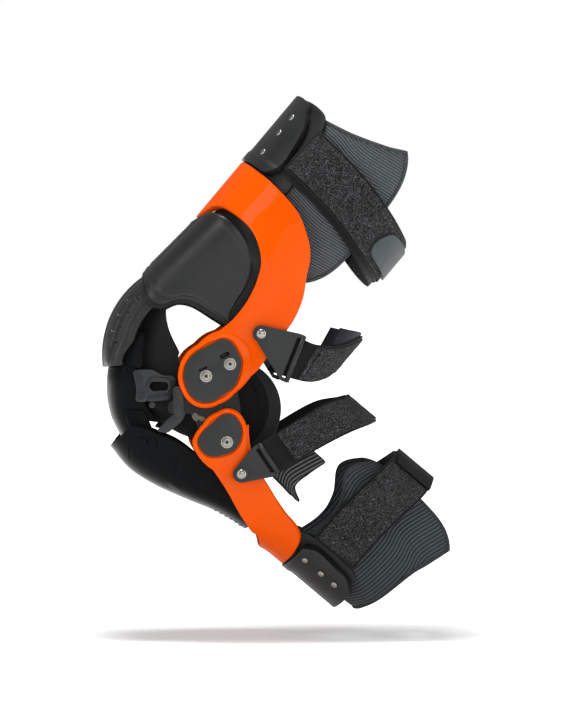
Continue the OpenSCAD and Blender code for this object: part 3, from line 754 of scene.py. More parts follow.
# ---- Knee plates: a ribbed plate sliding between the shield and the smooth knee shell ----
# Injection-moulded nylon. The ribbed plate has long raised bands cut by short cross grooves, like a
# tyre tread; the smooth shell under it is polished.
def lame_at(centre, g, b, outer, rim, half):
    c = max(math.cos(math.radians(b)), 0.0) ** 0.75
    r = rim + (outer - rim) * c
    return ((centre[0] + r * math.cos(math.radians(g))) / 1000, half * boxy(b, 1.5) / 1000,
            (centre[1] + r * math.sin(math.radians(g))) / 1000)


def knee_plate(name, centre, g0, g1, n, m, outer, rim, half, thick, cut=None, around=82):
    def rows(back):
        out = []
        for i in range(n + 1):
            g = g0 + (g1 - g0) * i / n
            row = []
            for j in range(m + 1):
                b = around * (2 * j / m - 1)
                lift_by = cut(g, b) if cut and not back else 0.0
                row.append(lame_at(centre, g, b, outer(g) - (thick if back else 0) + lift_by,
                                   rim(g) - (0.5 if back else 0) + lift_by * 0.8,
                                   half(g) - (thick - 0.5 if back else 0) + lift_by * 0.7))
            out.append(row)
        return out
    return wall(name, rows(False), rows(True))


def groove(x, centre, width):
    return math.exp(-(((x - centre) / width) ** 4))


def tread(g, b):
    """Depth of the long and the cross grooves."""
    a = abs(b)
    taper = ease((184 - g) / 40)
    cutting = max(groove(a, 60, 1.9) * ease((183 - g) / 3),
                  groove(a, 47, 1.9) * taper ** 0.3 * ease((177 - g) / 3),
                  groove(a, 33, 1.9) * ease((170 - g) / 3), groove(a, 17, 1.6))
    phase = g / 11.0 + (0.5 if a > 47 else 0.0)
    near = abs(phase - round(phase)) * 11.0
    if 33 < a < 60 and g < 172:
        cutting = max(cutting, math.exp(-((near / 0.75) ** 4)))
    end = ease((g - 105) / 3) * ease((186.5 - g) / 2.5)
    panel = ease((a - 61) / 3) * ease((76 - a) / 3) * ease((180 - g) / 4)
    return (-1.1 * cutting - 0.6 * panel + (0.5 if 33 < a < 47 else 0.0)) * end


rib_centre = (knee_top[0] - 8.3, knee_top[1] + 12.2)
o = knee_plate("ribbed_knee_plate", rib_centre, 104, 187, 230, 260, lambda g: 73.2,
               lambda g: 44 + 10 * ease((g - 165) / 20), lambda g: 51, 2.4, tread)
fit_to(dress(soften(o, 0.0008, 2, 60), satin_nylon), "rib", "dark_shell", "ribbed_plate")
polished_nylon, tree, shader = finish_material("polished_black_nylon", "#101112", 0.3,
                                               Specular_IOR_Level=0.02)
grain(tree, shader, 900.0, 0.00002, 0.5, 1.0, roughness=(0.16, 0.30))
o = knee_plate("shell", knee_top, 150, 218, 90, 60,
               lambda g: 76.2 + 0.2 * min(max(g - 176, 0), 30) + ease((g - 206) / 12),
               lambda g: 50 - 4 * ease((g - 180) / 36), lambda g: 47 - 4 * ease((g - 188) / 20), 3.4)
dress(soften(o, 0.0012), polished_nylon)
cheek_outline = cornered([(-70.5, -8.5), (-68.0, -4.0), (-56.0, -3.4), (-48.6, -19.8), (-56.6, -23.6),
                          (-64.6, -21.4)], 4.5)
tongue_outline = cornered([(-66, 30), (-64.5, 46), (-58, 55), (-55.4, 50), (-56.4, 30), (-58.6, 26)], 4.0)
cheeks = [plate("cheek", cheek_outline, side, 42.2, 44.4, world_place, 0.0009) for side in (-1, 1)]
tongues = [plate("tongue", tongue_outline, side, 45.6, 47.9, world_place, 0.0009) for side in (-1, 1)]
o = join("smooth_knee_shell", o, *[dress(c, polished_nylon) for c in cheeks + tongues])
fit_to(o, "link", "glossy_black", "knee_shell")

# ---- Knee shell side gear: slotted side plates, screws and the link bars to the hinge ----
# Pressed steel plates in black oxide on each flank of the knee shell, slotted for the shell to float.
black_oxide, tree, shader = finish_material("black_oxide_steel", "#1C1E20", 0.36, Metallic=0.35)
grain(tree, shader, 1400.0, 0.00003, 0.6, 1.0, roughness=(0.30, 0.44))
side_outline = cornered([(-64.4, 25.6), (-57.5, 26.4), (-50.2, 26.6), (-41, 21.8), (-34.1, 22.2),
                         (-31.4, 18.6), (-33.6, 12), (-33.4, 6.6), (-52.4, 5.4), (-54.2, 1.6), (-62.4, 2.2),
                         (-61.6, 12)], 2.4)
ring_outer = cornered([(-54.6, 14.6), (-52.5, 19.6), (-49.1, 21.2), (-36.5, 20.0), (-34.2, 14.5), (-36.2, 8.8),
                       (-50.2, 7.6), (-53.7, 9.4)], 3.0)
ring_hole = cornered([(-52.2, 13.9), (-49.6, 17.4), (-37.8, 16.6), (-37.8, 11.2), (-49.6, 10.2)], 2.4)
link_arm = cornered([(-34.1, 14.5), (-26.7, 13.3), (-25.9, -1.6), (-26.3, -8.0), (-30.1, -9.8), (-33.6, -7.3),
                     (-34.4, -0.5)], 3.4)
link_bar = cornered([(-31.6, -5.6), (-24.0, -4.6), (-27.6, -12.6), (-38.7, -21.4), (-46.9, -19.8),
                     (-38.7, -10.8)], 2.6)
rail_outline = cornered([(-54.2, 3.4), (-51.4, 6.6), (-35.5, 6.8), (-35.3, 3.4), (-51.4, 2.0)], 1.4)
pivot = (-30.1, -2.2)


def around(x, z, radius, n):
    """n points on a circle in the side view."""
    turns = [2 * math.pi * i / n for i in range(n)]
    return [(x + radius * math.cos(g), z + radius * math.sin(g)) for g in turns]


def disc(name, side, x, z, a, b, radius, place, rounding=0.0005):
    return plate(name, around(x, z, radius, 40), side, a, b, place, rounding)


for side, word in sides:
    parts = [plate("side_plate", side_outline, side, 47.4, 49.2, world_place, 0.0005, [ring_hole]),
             plate("ring", ring_outer, side, 49.0, 50.6, world_place, 0.0006, [ring_hole]),
             plate("bar", link_bar, side, 64.6, 65.9, world_place, 0.0005),
             plate("arm", link_arm, side, 64.6, 66.1, world_place, 0.0005),
             plate("rail", rail_outline, side, 49.0, 50.2, world_place, 0.0004),
             disc("lug", side, *pivot, 65.6, 67.3, 2.2, world_place, 0.0004),
             disc("washer", side, *pivot, 65.6, 66.6, 3.5, world_place, 0.0003),
             disc("knob", side, -49.6, -0.4, 47.6, 49.4, 2.6, world_place, 0.0006)]
    o = join("knee_side_gear_" + word, *parts)
    fit_to(dress(o, black_oxide), "link", "dark_shell", "knee_side_plate_" + word)
black_steps = ((0.3, 1.0), (0.1, 0.94), (0.0, 0.8), (-0.3, 0.94), (0.0, 0.9), (0.7, 0.96))
black_heads = head_tree("Black screw heads", black_steps, black_oxide, hex_socket)
heads("knee_side_screw_heads", black_heads,
      [(world_place((x, side * 49.2, z)), (0, side, 0))
       for side in (-1, 1) for x, z in ((-59.6, 19.6), (-58.4, 6.6))],
      0.0030, 0.0013, "link", "knee_side_screws")

# ---- Hinge cores: the link plates that tie each pair of pods together ----
# Machined and black-anodised aluminium plates with their pivot pins, and a sintered steel stop block.
machined, tree, shader = finish_material("machined_aluminium", "#0E0E0E", 0.45, Metallic=0.6)
grain(tree, shader, 1200.0, 0.00003, 0.6, 1.0, roughness=(0.3, 0.46))
for word in ("lateral", "medial"):
    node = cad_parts["hinge_core_" + word]
    node.data.materials.clear()
    node.data.materials.append(machined)
stop_block, tree, shader = finish_material("sintered_stop_block", "#4E4A3F", 0.55, Metallic=0.3)
grain(tree, shader, 900.0, 0.00006, 0.8, 2.0, roughness=(0.4, 0.6))
stop_outline = cornered([(-20.4, -9.0), (-19.0, -6.0), (-16.8, -5.8), (-15.6, -7.6), (-10.6, -9.2),
                         (-9.8, -11.6), (-12.6, -12.8), (-15.2, -11.0), (-16.6, -12.6), (-18.6, -11.6)], 0.8)
for side, word in sides:
    o = plate("hinge_stop_" + word, stop_outline, side, 65.3, 65.95, world_place, 0.0003)
    fit_to(dress(o, stop_block), "link", "core_metal")

# ---- Condyle pads: stacked discs that hold the sides of the knee ----
# A polished outer dish and a thinner second dish carry a thick closed-cell foam pad with a knitted face.
foam_skin, tree, shader = finish_material("closed_cell_foam", "#060607", 0.75, Sheen_Weight=0.08,
                                          Sheen_Roughness=0.5, Specular_IOR_Level=0.25)
grain(tree, shader, 1500.0, 0.00012, 0.8, 3.0)


def dish(name, side, x, z, profile, place, n=96):
    """A turned disc from a profile of (radius, distance across)."""
    rows = [[place((px, side * y, pz)) for px, pz in around(x, z, r, n)] for r, y in profile[1:-1]]
    verts = [place((x, side * y, z)) for y in (profile[0][1], profile[-1][1])]
    verts += [p for row in rows for p in row]
    faces = []
    for i in range(n):
        j = (i + 1) % n
        faces.append((0, 2 + i, 2 + j))
        faces.append((1, 2 + (len(rows) - 1) * n + j, 2 + (len(rows) - 1) * n + i))
        for k in range(len(rows) - 1):
            faces.append((2 + k * n + i, 2 + k * n + j, 2 + (k + 1) * n + j, 2 + (k + 1) * n + i))
    return mesh_object(name, verts, faces)


outer_profile = [(0, 62.3), (20, 62.3), (28.4, 61.8), (30.0, 62.2), (30.9, 61.6), (31.0, 60.6), (28, 60.2),
                 (0, 60.2)]
second_profile = [(0, 60.8), (24, 60.8), (32.6, 60.2), (33.6, 60.6), (34.4, 60.0), (34.4, 59.2), (30, 58.9),
                  (0, 58.9)]
foam_profile = [(0, 50.7), (14, 50.5), (24, 50.7), (29.5, 51.6), (33.4, 53.4), (36.2, 56.0), (36.8, 57.8),
                (36.2, 59.0), (34.5, 59.5), (0, 59.5)]
for side, word in sides:
    outer = dish("dish", side, -1.5, -1, outer_profile, world_place)
    second = dish("dish", side, 3.2, -2, second_profile, world_place)
    o = join("condyle_dishes_" + word, outer, second)
    fit_to(dress(o, polished_nylon), "link", "dark_shell", "condyle_shell_" + word)
    o = dish("condyle_foam_" + word, side, 10.4, -3, foam_profile, world_place)
    fit_to(dress(o, foam_skin), "link", "foam", "condyle_pad_" + word)

# ---- Knee foam pad: the soft liner inside the knee plates ----
# Thick black foam, moulded to the front of the knee and fixed inside the smooth shell.
o = knee_plate("knee_foam", knee_top, 118, 256, 110, 40, lambda g: 68.6 - 16 * ease((g - 206) / 26),
               lambda g: 24 + 38 * (1 - ease((g - 118) / 32)) - 8 * ease((g - 152) / 20) + 26 * ease((g - 205) / 30),
               lambda g: 42, 8.0, around=88)
fit_to(dress(soften(o, 0.0035, 4), foam_skin), "link", "foam", "knee_foam_pad")

# ---- Shin cup: the glossy black cup that guards below the knee cap ----
# Deep-drawn look moulding with a curved crease down each side and small teeth on its lower edge.
def cup_front(s):
    return spline([(-60, 60), (-36, 64), (-10, 61), (14, 54), (38, 46.5), (62, 43)], (s + 60) / 122)[1]


def cup_at(s, a, off):
    half = 56 - 6 * ease((s - 10) / 60)
    return (s, (half + off) * boxy(a, 1.7), -(cup_front(s) + off) * math.cos(math.radians(a)))


cup_edge = [(-57, 50), (-50, 56), (-38, 62), (-20, 67), (0, 66), (20, 60), (40, 51), (62, 35)]


def cup_rows(off, lift_it):
    out = []
    for i in range(141):
        e = spline(cup_edge, i / 140)
        row = []
        teeth = 0.8 * max(0.0, math.sin(e[0] * 1.45)) * ease((e[0] - 30) / 5) * ease((61 - e[0]) / 3)
        for j in range(97):
            k = j / 48 - 1
            a = abs(e[1] * k)
            w = cup_front(e[0]) * math.cos(math.radians(a))
            crease = (e[0] + 6.5) - 0.35 * (w - 42) + 0.045 * (w - 42) ** 2
            up = 0.0
            if lift_it:
                flank = ease((w - 30) / 5) * ease((55 - w) / 5) * ease((14 - abs(e[0] + 6)) / 8)
                up = 0.9 * (1 / (1 + math.exp(-crease / 0.7))) * flank
                up += teeth * ease((math.cos(math.radians(a)) - 0.955) * 40)
            row.append(on_shin(cup_at(e[0], e[1] * k, off + up)))
        out.append(row)
    return out


def cup_spot(x, z):
    """A point of the side view, in brace millimetres, as (down the shin, angle round it)."""
    c, n = math.cos(math.radians(40)), math.sin(math.radians(40))
    a, b = x - knee_low[0], z - knee_low[1]
    along, forward = a * c - b * n, -(a * n + b * c)
    return along, math.degrees(math.acos(max(-1.0, min(1.0, forward / cup_front(along)))))


def binding(name, border, radius, material, closed_loop=True):
    """Edge tape, bead or bar: a small tube laid along the points in metres."""
    curve = bpy.data.curves.new(name, "CURVE")
    curve.dimensions, curve.bevel_depth, curve.bevel_resolution = "3D", radius, 2
    curve.use_fill_caps = True
    line = curve.splines.new("POLY")
    line.points.add(len(border) - 1)
    for point, co in zip(line.points, border):
        point.co = (*co, 1)
    line.use_cyclic_u = closed_loop
    o = bpy.data.objects.new(name, curve)
    bpy.context.collection.objects.link(o)
    bpy.context.view_layer.update()
    me = bpy.data.meshes.new_from_object(o.evaluated_get(bpy.context.evaluated_depsgraph_get()))
    bpy.data.objects.remove(o)
    if not me.uv_layers:
        me.uv_layers.new(name="Cut")
    me.uv_layers[0].name = "Cut"
    out = bpy.data.objects.new(name, me)
    bpy.context.collection.objects.link(out)
    me.shade_smooth()
    return dress(out, material)


long_bead = [(-26.4, -36.4), (-30.0, -39.6), (-32.2, -44.0), (-32.9, -49.0), (-32.2, -55.0), (-30.6, -61.0)]
short_bead = [(-67.6, -31.4), (-67.6, -36.0), (-66.9, -42.0)]
parts = [dress(soften(wall("shell", cup_rows(0.0, True), cup_rows(-3.0, False)), 0.0011), polished_nylon)]
bumps = []
for side in (-1, 1):
    for path, radius in ((long_bead, 0.00045), (short_bead, 0.00035)):
        spots = [cup_spot(*spline(path, i / 24)) for i in range(25)]
        line = [on_shin(cup_at(u, side * a, 0.15)) for u, a in spots]
        parts.append(binding("bead", line, radius, polished_nylon, False))
    for u, a in (cup_spot(-49.4, -28.6), cup_spot(-56.6, -27.6)):
        bumps.append(lift(cup_at, on_shin, u, side * a, -0.1))
fit_to(join("shin_cup_shell", *parts), "cup", "glossy_black", "shin_cup")
boss_tree = head_tree("Moulded bosses", ((0.4, 1.0), (0.3, 0.9), (0.2, 0.7), (0.1, 0.4)), polished_nylon)
heads("shin_cup_bosses", boss_tree, bumps, 0.0034, 0.0016, "cup")
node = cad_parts["shin_cup_pin"]
node.data.materials.clear()
node.data.materials.append(black_oxide)

# ---- Cuff liners: padded mesh flaps that wrap the leg under the straps ----
# Spacer mesh laminated on foam, bound at the edge with black tape; fine ribs run with the strap.
def ribbed_cloth(name, base, dark, pitch, along_u, depth=0.00035, mesh=1.0, sharp=0.7):
    """Knitted ribs on the cut's own UV, pitch metres apart, with a small mesh between."""
    m, tree, p = finish_material(name, base, 0.8, Sheen_Weight=0.08, Sheen_Roughness=0.45,
                                 Specular_IOR_Level=0.2)
    uv = add(tree, "ShaderNodeUVMap", uv_map="Cut").outputs[0]
    part = add(tree, "ShaderNodeSeparateXYZ", {"Vector": uv})
    def wave(axis, step, power):
        turns = times(tree, part.outputs[axis], math.pi / step)
        s = add(tree, "ShaderNodeMath", {0: turns}, operation="SINE")
        a = add(tree, "ShaderNodeMath", {0: s.outputs[0]}, operation="ABSOLUTE")
        return add(tree, "ShaderNodeMath", {0: a.outputs[0]}, operation="POWER", _1=power).outputs[0]
    ribs = wave(1 if along_u else 0, pitch, sharp)
    ticks = wave(0 if along_u else 1, pitch * 0.8, 0.6)
    part_of = add(tree, "ShaderNodeMapRange", {"Value": ticks}, To_Min=1.0 - mesh, To_Max=1.0).outputs[0]
    both = add(tree, "ShaderNodeMath", {0: ribs, 1: part_of}, operation="MULTIPLY").outputs[0]
    height = add(tree, "ShaderNodeMath", {0: ribs, 1: both}, operation="ADD").outputs[0]
    at = add(tree, "ShaderNodeTexCoord").outputs["Object"]
    fuzz = add(tree, "ShaderNodeTexNoise", {"Vector": at}, Scale=900.0, Detail=2.0)
    rough = add(tree, "ShaderNodeMath", {0: fuzz.outputs["Fac"], 1: height}, operation="MULTIPLY_ADD", _2=0.0)
    tree.links.new(height, rough.inputs[2])
    rough.inputs[1].default_value = 0.35
    b = add(tree, "ShaderNodeBump", {"Height": rough.outputs[0]}, Strength=0.9, Distance=depth)
    tree.links.new(b.outputs[0], p.inputs["Normal"])
    two_tone(tree, p, both, dark, base)
    return m


liner_mesh = ribbed_cloth("spacer_mesh_charcoal", "#565C5E", "#0C0D0D", 0.0021, True, mesh=0.6)
shin_mesh = ribbed_cloth("ribbed_spacer_mesh", "#3E4547", "#080909", 0.0027, True, mesh=0.2, sharp=1.0)
calf_elastic = ribbed_cloth("striped_elastic", "#5A5D5E", "#050505", 0.0029, True, mesh=0.25, sharp=3.0)
binding_tape = ribbed_cloth("binding_tape_black", "#0C0C0D", "#050505", 0.0012, False, 0.00012)


def border_of(p, q, n, m, surface, place, off, bow):
    """The rim of a strip, once round."""
    def at(t, k):
        return place(surface(*between(spline(p, t), spline(q, t), t, k, bow), off))
    return ([at(i / n, 0) for i in range(n)] + [at(1, j / m) for j in range(m)]
            + [at(1 - i / n, 1) for i in range(n)] + [at(0, 1 - j / m) for j in range(m)])


def liner(name, p, q, surface, place, bow, body, node, cloth, puff=1.4):
    o = strip(name + "_pad", p, q, 130, 40, -12.6, -9.0, surface, place, bow,
              rise=lambda t, k: puff * (math.sin(math.pi * k) ** 0.5 * ease(min(t, 1 - t) * 14) - 0.7))
    soften(o, 0.0012, 2)
    dress(o, cloth)
    tape = binding("tape", border_of(p, q, 150, 40, surface, place, -10.6, bow), 0.0017, cloth)
    o = join(name, o, tape)
    fit_to(o, body, "mesh_fabric", node)


liner("thigh_liner_flap", both_sides([tq(220, -9), tq(208, 23), (202, 58), (198, 30), (197, 0)]),
      both_sides([tq(98, -14), tq(101, 8), (114, 56), (120, 28), (121, 0)]), thigh_at, on_thigh, 16,
      "thigh", "thigh_liner", liner_mesh)
liner("shin_liner_flap", both_sides([sq(100, -64), sq(91, -46), sq(102, -22), sq(104, 4), (92, 24), (88, 0)]),
      both_sides([sq(188, -50), sq(182, -28), sq(177, -10), sq(171, 26), (167, 24), (165, 0)]), shin_at, on_shin, 15,
      "shin", "shin_liner", shin_mesh)
calf_pads = []
for side in (1, -1):
    p = [(77, side * 72), (67, side * 82), (69, side * 97), (73, side * 112)]
    q = [(43, side * 86), (46, side * 96), (52, side * 106), (59, side * 116)]
    o = strip("calf_pad", p, q, 40, 20, -12.4, -9.4, shin_at, on_shin, 0,
              rise=lambda t, k: 1.2 * math.sin(math.pi * k) ** 0.5 * math.sin(math.pi * t) ** 0.5)
    calf_pads += [dress(soften(o, 0.0012, 2), calf_elastic),
                  binding("tape", border_of(p, q, 40, 20, shin_at, on_shin, -11.0, 0), 0.0013, binding_tape)]
o = join("calf_mesh_flaps", *calf_pads)
fit_to(o, "shin", "mesh_fabric", "calf_mesh_pad")

# ---- Straps: long webbing loops faced with looped pile, and their tabs ----
# Woven polyester webbing 38 mm wide with napped pile on the outside, so the hook tab sticks anywhere.
# A tree scatters short curled fibres over the pile face with a fixed seed.
def pile_cloth(name, base, curl_highlight, scale):
    m, tree, p = finish_material(name, base, 0.95, Sheen_Weight=0.05, Sheen_Roughness=0.6,
                                 Specular_IOR_Level=0.1)
    at = add(tree, "ShaderNodeTexCoord").outputs["Object"]
    curl = add(tree, "ShaderNodeTexNoise", {"Vector": at}, Scale=scale, Detail=3.0, Roughness=0.6, Distortion=3.5)
    b = add(tree, "ShaderNodeBump", {"Height": curl.outputs["Fac"]}, Strength=1.0, Distance=0.0016)
    tree.links.new(b.outputs[0], p.inputs["Normal"])
    # The raised curls are painted lighter, a painted highlight on the black pile, and the hollows between them stay
    # near-black as painted shade.
    ramp = add(tree, "ShaderNodeMapRange", {"Value": curl.outputs["Fac"]}, From_Min=0.50, From_Max=0.64)
    two_tone(tree, p, ramp.outputs[0], base, curl_highlight)
    return m


pile = pile_cloth("looped_pile_black", "#060606", "#5C5C60", 470.0)
fibre, tree, shader = finish_material("pile_fibre", "#4C4C50", 0.6)
grain(tree, shader, 2000.0, 0.00001)
webbing = ribbed_cloth("woven_webbing_black", "#0D0D0E", "#040404", 0.0016, True, 0.00025)


def fuzz_tree():
    """Short curled fibres scattered over a face that faces outwards."""
    tree, source = new_tree("Pile fibres", (("Fibres per square metre", "Float"), ("Fibre height", "Float"),
                                            ("Seed", "Int")))
    spots = add(tree, "GeometryNodeDistributePointsOnFaces",
                {"Mesh": source.outputs[0], "Density": source.outputs[1], "Seed": source.outputs[3]})
    arc = add(tree, "GeometryNodeCurveArc", mode="RADIUS", Resolution=5, Radius=1.0, Start_Angle=0.0,
              Sweep_Angle=3.5)
    line = add(tree, "GeometryNodeCurvePrimitiveLine", End=(0.0, 0.0, 0.16))
    ribbon = add(tree, "GeometryNodeCurveToMesh", {"Curve": arc.outputs[0], "Profile Curve": line.outputs[0]})
    upright = add(tree, "GeometryNodeTransform", {"Geometry": ribbon.outputs[0]},
                  Rotation=(math.pi / 2, 0.0, 0.0))
    tilt = add(tree, "FunctionNodeRandomValue", {"Seed": source.outputs[3]}, data_type="FLOAT_VECTOR")
    tilt.inputs[0].default_value, tilt.inputs[1].default_value = (-0.9, -0.9, 0.0), (0.9, 0.9, 6.28)
    turned = add(tree, "FunctionNodeRotateRotation",
                 {"Rotation": spots.outputs["Rotation"]}, rotation_space="LOCAL")
    spin = add(tree, "FunctionNodeEulerToRotation", {"Euler": tilt.outputs[0]})
    tree.links.new(spin.outputs[0], turned.inputs[1])
    size = add(tree, "FunctionNodeRandomValue", {"Seed": source.outputs[3]}, data_type="FLOAT")
    size.inputs[2].default_value, size.inputs[3].default_value = 0.5, 1.0
    scaled = add(tree, "ShaderNodeMath", {0: size.outputs[1], 1: source.outputs[2]}, operation="MULTIPLY")
    placed = add(tree, "GeometryNodeInstanceOnPoints",
                 {"Points": spots.outputs[0], "Instance": upright.outputs[0], "Rotation": turned.outputs[0],
                  "Scale": scaled.outputs[0]})
    plain = add(tree, "GeometryNodeRealizeInstances", {"Geometry": placed.outputs[0]})
    painted = add(tree, "GeometryNodeSetMaterial", {"Geometry": plain.outputs[0]}, Material=fibre)
    add(tree, "NodeGroupOutput", {"Geometry": painted.outputs[0]})
    return tree


pile_fibres = fuzz_tree()


def fuzz(name, outer, per_area, height, seed):
    """Fibres over a grid of points in metres."""
    n, m = len(outer), len(outer[0])
    me = bpy.data.meshes.new(name)
    quads = [(i * m + j, i * m + j + 1, (i + 1) * m + j + 1, (i + 1) * m + j)
             for i in range(n - 1) for j in range(m - 1)]
    me.from_pydata([tuple(p) for row in outer for p in row], [], quads)
    return grown(me, pile_fibres, {"Fibres per square metre": per_area, "Fibre height": height, "Seed": seed})


def back_round(edge):
    return list(edge) + [(u, 360 - a) for u, a in reversed(edge[:-1])]


fibre_height, fibres_per_area = 0.0013, 130000.0


def strap(name, p, q, surface, place, off, body, node, seed, faced=(0.02, 0.98), seams=(), under=0.0, thick=2.6):
    """A strap: woven band, raised pile facing with sewn seams, fibres, and a wider backing if it has one."""
    p, q = back_round(p), back_round(q)
    band = strip("band", p, q, 120, 10, off, off + thick * 0.5, surface, place)
    band = dress(soften(band, 0.0005, 2), webbing)
    def along(t):
        return faced[0] + (faced[1] - faced[0]) * t
    def wave(t, k):
        t = along(t)
        sewn = max([math.exp(-(((t - at) / 0.004) ** 2)) for at in seams] + [0.0])
        return 0.3 * math.sin(t * 61) * math.sin(k * 9 + t * 23) - 1.1 * sewn
    inset_p = [tuple(np.array(a) * 0.95 + np.array(b) * 0.05) for a, b in zip(p, q)]
    inset_q = [tuple(np.array(a) * 0.05 + np.array(b) * 0.95) for a, b in zip(p, q)]
    part_p, part_q = [[spline(edge, faced[0] + (faced[1] - faced[0]) * i / 30) for i in range(31)]
                      for edge in (inset_p, inset_q)]
    face = strip("face", part_p, part_q, 220, 14, off + thick * 0.45, off + thick, surface, place, rise=wave)
    face = dress(soften(face, 0.0007, 3), pile)
    rows = []
    for i in range(81):
        t = along(0.01 + 0.98 * i / 80)
        e, f = spline(inset_p, t), spline(inset_q, t)
        rows.append([place(surface(*(e * (1 - j / 8) + f * j / 8), off + thick - 0.1)) for j in range(9)])
    hair = fuzz("hair", rows, fibres_per_area, fibre_height, seed)
    pieces = [band, face, hair]
    if under:
        wide_q = [(b[0] + math.copysign(under, b[0] - a[0]), b[1]) for a, b in zip(p, q)]
        backing = strip("backing", p, wide_q, 120, 8, off - 1.3, off - 0.2, surface, place)
        pieces.append(dress(soften(backing, 0.0005, 2), webbing))
    fit_to(join(name, *pieces), body, "webbing", node)


strap_w = 38.0
strap("top_thigh_strap_band",
      [tq(191, 57), tq(189, 30), tq(184, -5), (178, 124), (173, 150), (171, 180)],
      [tq(191 - strap_w, 59), tq(189 - strap_w, 30), tq(184 - strap_w, -5), (178 - strap_w, 124),
       (173 - strap_w, 150), (171 - strap_w, 180)],
      thigh_at, on_thigh, -4.4, "thigh", "top_thigh_strap", 3, seams=(0.10, 0.90), under=5.0)
strap("shin_strap_band",
      [sq(104, 16), sq(104, -10), sq(106, -35), (109, 130), (112, 155), (112, 180)],
      [sq(104 + strap_w, 16), sq(104 + strap_w, -10), sq(106 + strap_w, -35), (109 + strap_w, 130),
       (111 + strap_w, 155), (112 + strap_w, 180)],
      shin_at, on_shin, -4.4, "shin", "shin_strap", 4, seams=(0.07, 0.93))


def low_at(u, a, off):
    c = math.cos(math.radians(a))
    return (u, (74 + off) * boxy(a, 2.4), thigh_mid + ((thigh_fore if c > 0 else 79) + off) * c)


def calf_at(s, a, off):
    fold = (360 - a if a > 180 else a) / 180
    return (s, (74 - 7 * ease(fold - 0.3) + off) * boxy(a, 2.4), 8 - (78 + off) * math.cos(math.radians(a)))


strap("lower_thigh_strap_band", [(62, 117), (66, 131), (76, 147), (92, 165), (96, 180)],
      [(31, 123), (36, 136), (44, 152), (58, 170), (63, 180)],
      low_at, on_thigh, -1.5, "thigh_yoke", "lower_thigh_strap", 5, faced=(0.14, 0.86), seams=(0.165, 0.835))
strap("calf_strap_band", [(24, 91), (32, 110), (44, 140), (54, 160), (56, 180)],
      [(50, 86), (58, 105), (72, 135), (82, 158), (86, 180)],
      calf_at, on_shin, -1.5, "calf_yoke", "calf_strap", 6, faced=(0.10, 0.90), seams=(0.125, 0.875))

# Moulded rubber pull tab at the end of the top strap, and the hook tab on the shin strap.
tab_rubber, tree, shader = finish_material("grey_green_rubber", "#2E3434", 0.6, Specular_IOR_Level=0.3)
at = add(tree, "ShaderNodeTexCoord").outputs["Object"]
mottle = add(tree, "ShaderNodeTexNoise", {"Vector": at}, Scale=120.0, Detail=5.0)
two_tone(tree, shader, mottle.outputs["Fac"], "#262B2B", "#3A4141")
grain(tree, shader, 1300.0, 0.00005, 0.8, 2.0, at)
o = strip("top_strap_pull", [(158, 232), (166.5, 226), (167.5, 214), (166, 200), (164, 184)],
          [(152, 233), (145, 229), (142, 216), (140, 200), (138.5, 184)], 30, 16, -1.5, 0.7, thigh_at, on_thigh)
fit_to(dress(soften(o, 0.0009), tab_rubber), "thigh", "tab_rubber", "top_strap_tab")
o = strip("shin_strap_hook_tab", [(116, 212), (114, 200), (113, 184)], [(149, 212), (148, 200), (148, 184)],
          30, 12, -1.5, 0.6, shin_at, on_shin)
fit_to(dress(soften(o, 0.0009), black_rubber), "shin", "rubber_edge", "shin_strap_tab")

# ---- Clips: three-cornered plates that pivot on the arms and hold the short straps ----
# Stamped and powder-coated steel. The wide end is folded over into a bar that the webbing loops round.
bar_radius, bar_across, ear_radius = 1.9, 74.2, 6.4


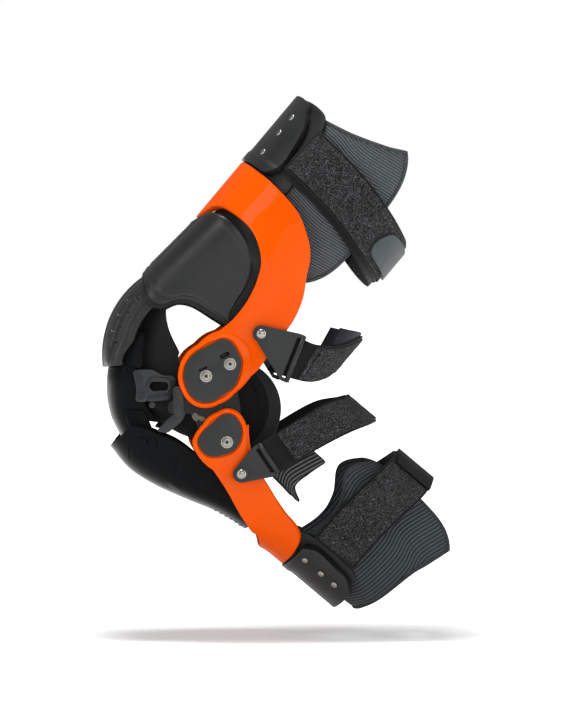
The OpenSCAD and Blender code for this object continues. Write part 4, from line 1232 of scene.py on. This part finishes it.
def clip(side, r, a, b, place, flip):
    """A clip from its rivet r and the two ends a and b of its bar: plate, bar and washer."""
    r, a, b = [np.array((p[0], p[1] * flip)) for p in (r, a, b)]
    along = (b - a) / np.linalg.norm(b - a)
    out = (a + b) / 2 - r
    out = out - along * out.dot(along)
    out = out / np.linalg.norm(out)
    back = math.atan2(-out[1], -out[0])
    ear = [r + ear_radius * np.array((math.cos(g), math.sin(g)))
           for g in np.linspace(back - 1.35, back + 1.35, 16)]
    if np.cross(a - r, b - r) < 0:
        a, b, along = b, a, -along
    outline = [tuple(p) for p in ear + [a + out * -1.0, a + out * 4, b + out * 4, b + out * -1.0]]
    slot = [tuple(p) for p in (a + along * 3 - out * 1.2, a + along * 3 + out * 1.4,
                               b - along * 3 + out * 1.4, b - along * 3 - out * 1.2)]
    flat = plate("flat", outline, side, 72.9, 74.9, place, 0.0005, [slot])
    verts = []
    for p in (a + along * 0.5 + out * 3.2, b - along * 0.5 + out * 3.2):
        for i in range(12):
            g = 2 * math.pi * i / 12
            q = p + out * bar_radius * math.cos(g)
            verts.append(place((q[0], side * (bar_across + bar_radius * math.sin(g)), q[1])))
    return [flat, prism("bar", verts), disc("washer", side, *r, 74.6, 75.5, 5.2, place, 0.0003)]


clips = (("thigh_clip", "thigh_yoke", "thigh", on_thigh, 1, (46, -10.4), (65, -33), (29, -45)),
         ("calf_clip", "calf_yoke", "shin", on_shin, -1, (30, 12), (50, -3), (24, -11)))
for word, body, arm, place, flip, r, a, b in clips:
    parts = [x for side in (-1, 1) for x in clip(side, r, a, b, place, flip)]
    fit_to(dress(join(word + "_plates", *parts), anthracite), body, "cover_metal", word + "s")
for word, body, arm, place, flip, r, a, b in clips:
    heads(word + "_rivet_heads", rivet_heads,
          [(place((r[0], side * 75.4, r[1] * flip)), (0, side, 0)) for side in (-1, 1)],
          0.0036, 0.0019, arm, word + "_rivets")

# ---- Strap pads: soft lined pads behind the thigh and calf on the short straps ----
# Quilted navy-black nylon over foam, sewn to the inside of the webbing.
lining = ribbed_cloth("navy_lining", "#0E1320", "#05070B", 0.0010, True, 0.0001)
for name, p, q, surface, place, body, node in (
    ("lower_strap_cushion", [(52, 150), (60, 165), (64, 180), (60, 195), (52, 210)],
     [(88, 140), (95, 160), (97, 180), (95, 200), (88, 220)], low_at, on_thigh, "thigh_yoke", "lower_strap_pad"),
    ("calf_strap_cushion", [(70, 135), (79, 158), (83, 180), (79, 202), (70, 225)],
     [(46, 140), (54, 160), (57, 180), (54, 200), (46, 220)], calf_at, on_shin, "calf_yoke", "calf_strap_pad")):
    def lofted(off, swell):
        rows = []
        for i in range(61):
            t = i / 60
            e, f = spline(p, t), spline(q, t)
            row = []
            for j in range(25):
                k = j / 24
                full = math.sin(math.pi * k) ** 0.5 * math.sin(math.pi * min(max(t, 0.0), 1.0)) ** 0.4
                row.append(place(surface(*(e * (1 - k) + f * k), off + swell * full)))
            rows.append(row)
        return rows
    o = wall(name, lofted(-2.6, 0.5), lofted(-3.6, -4.0))
    dress(soften(o, 0.0012, 3), lining)
    fit_to(o, body, "navy_fabric", node)
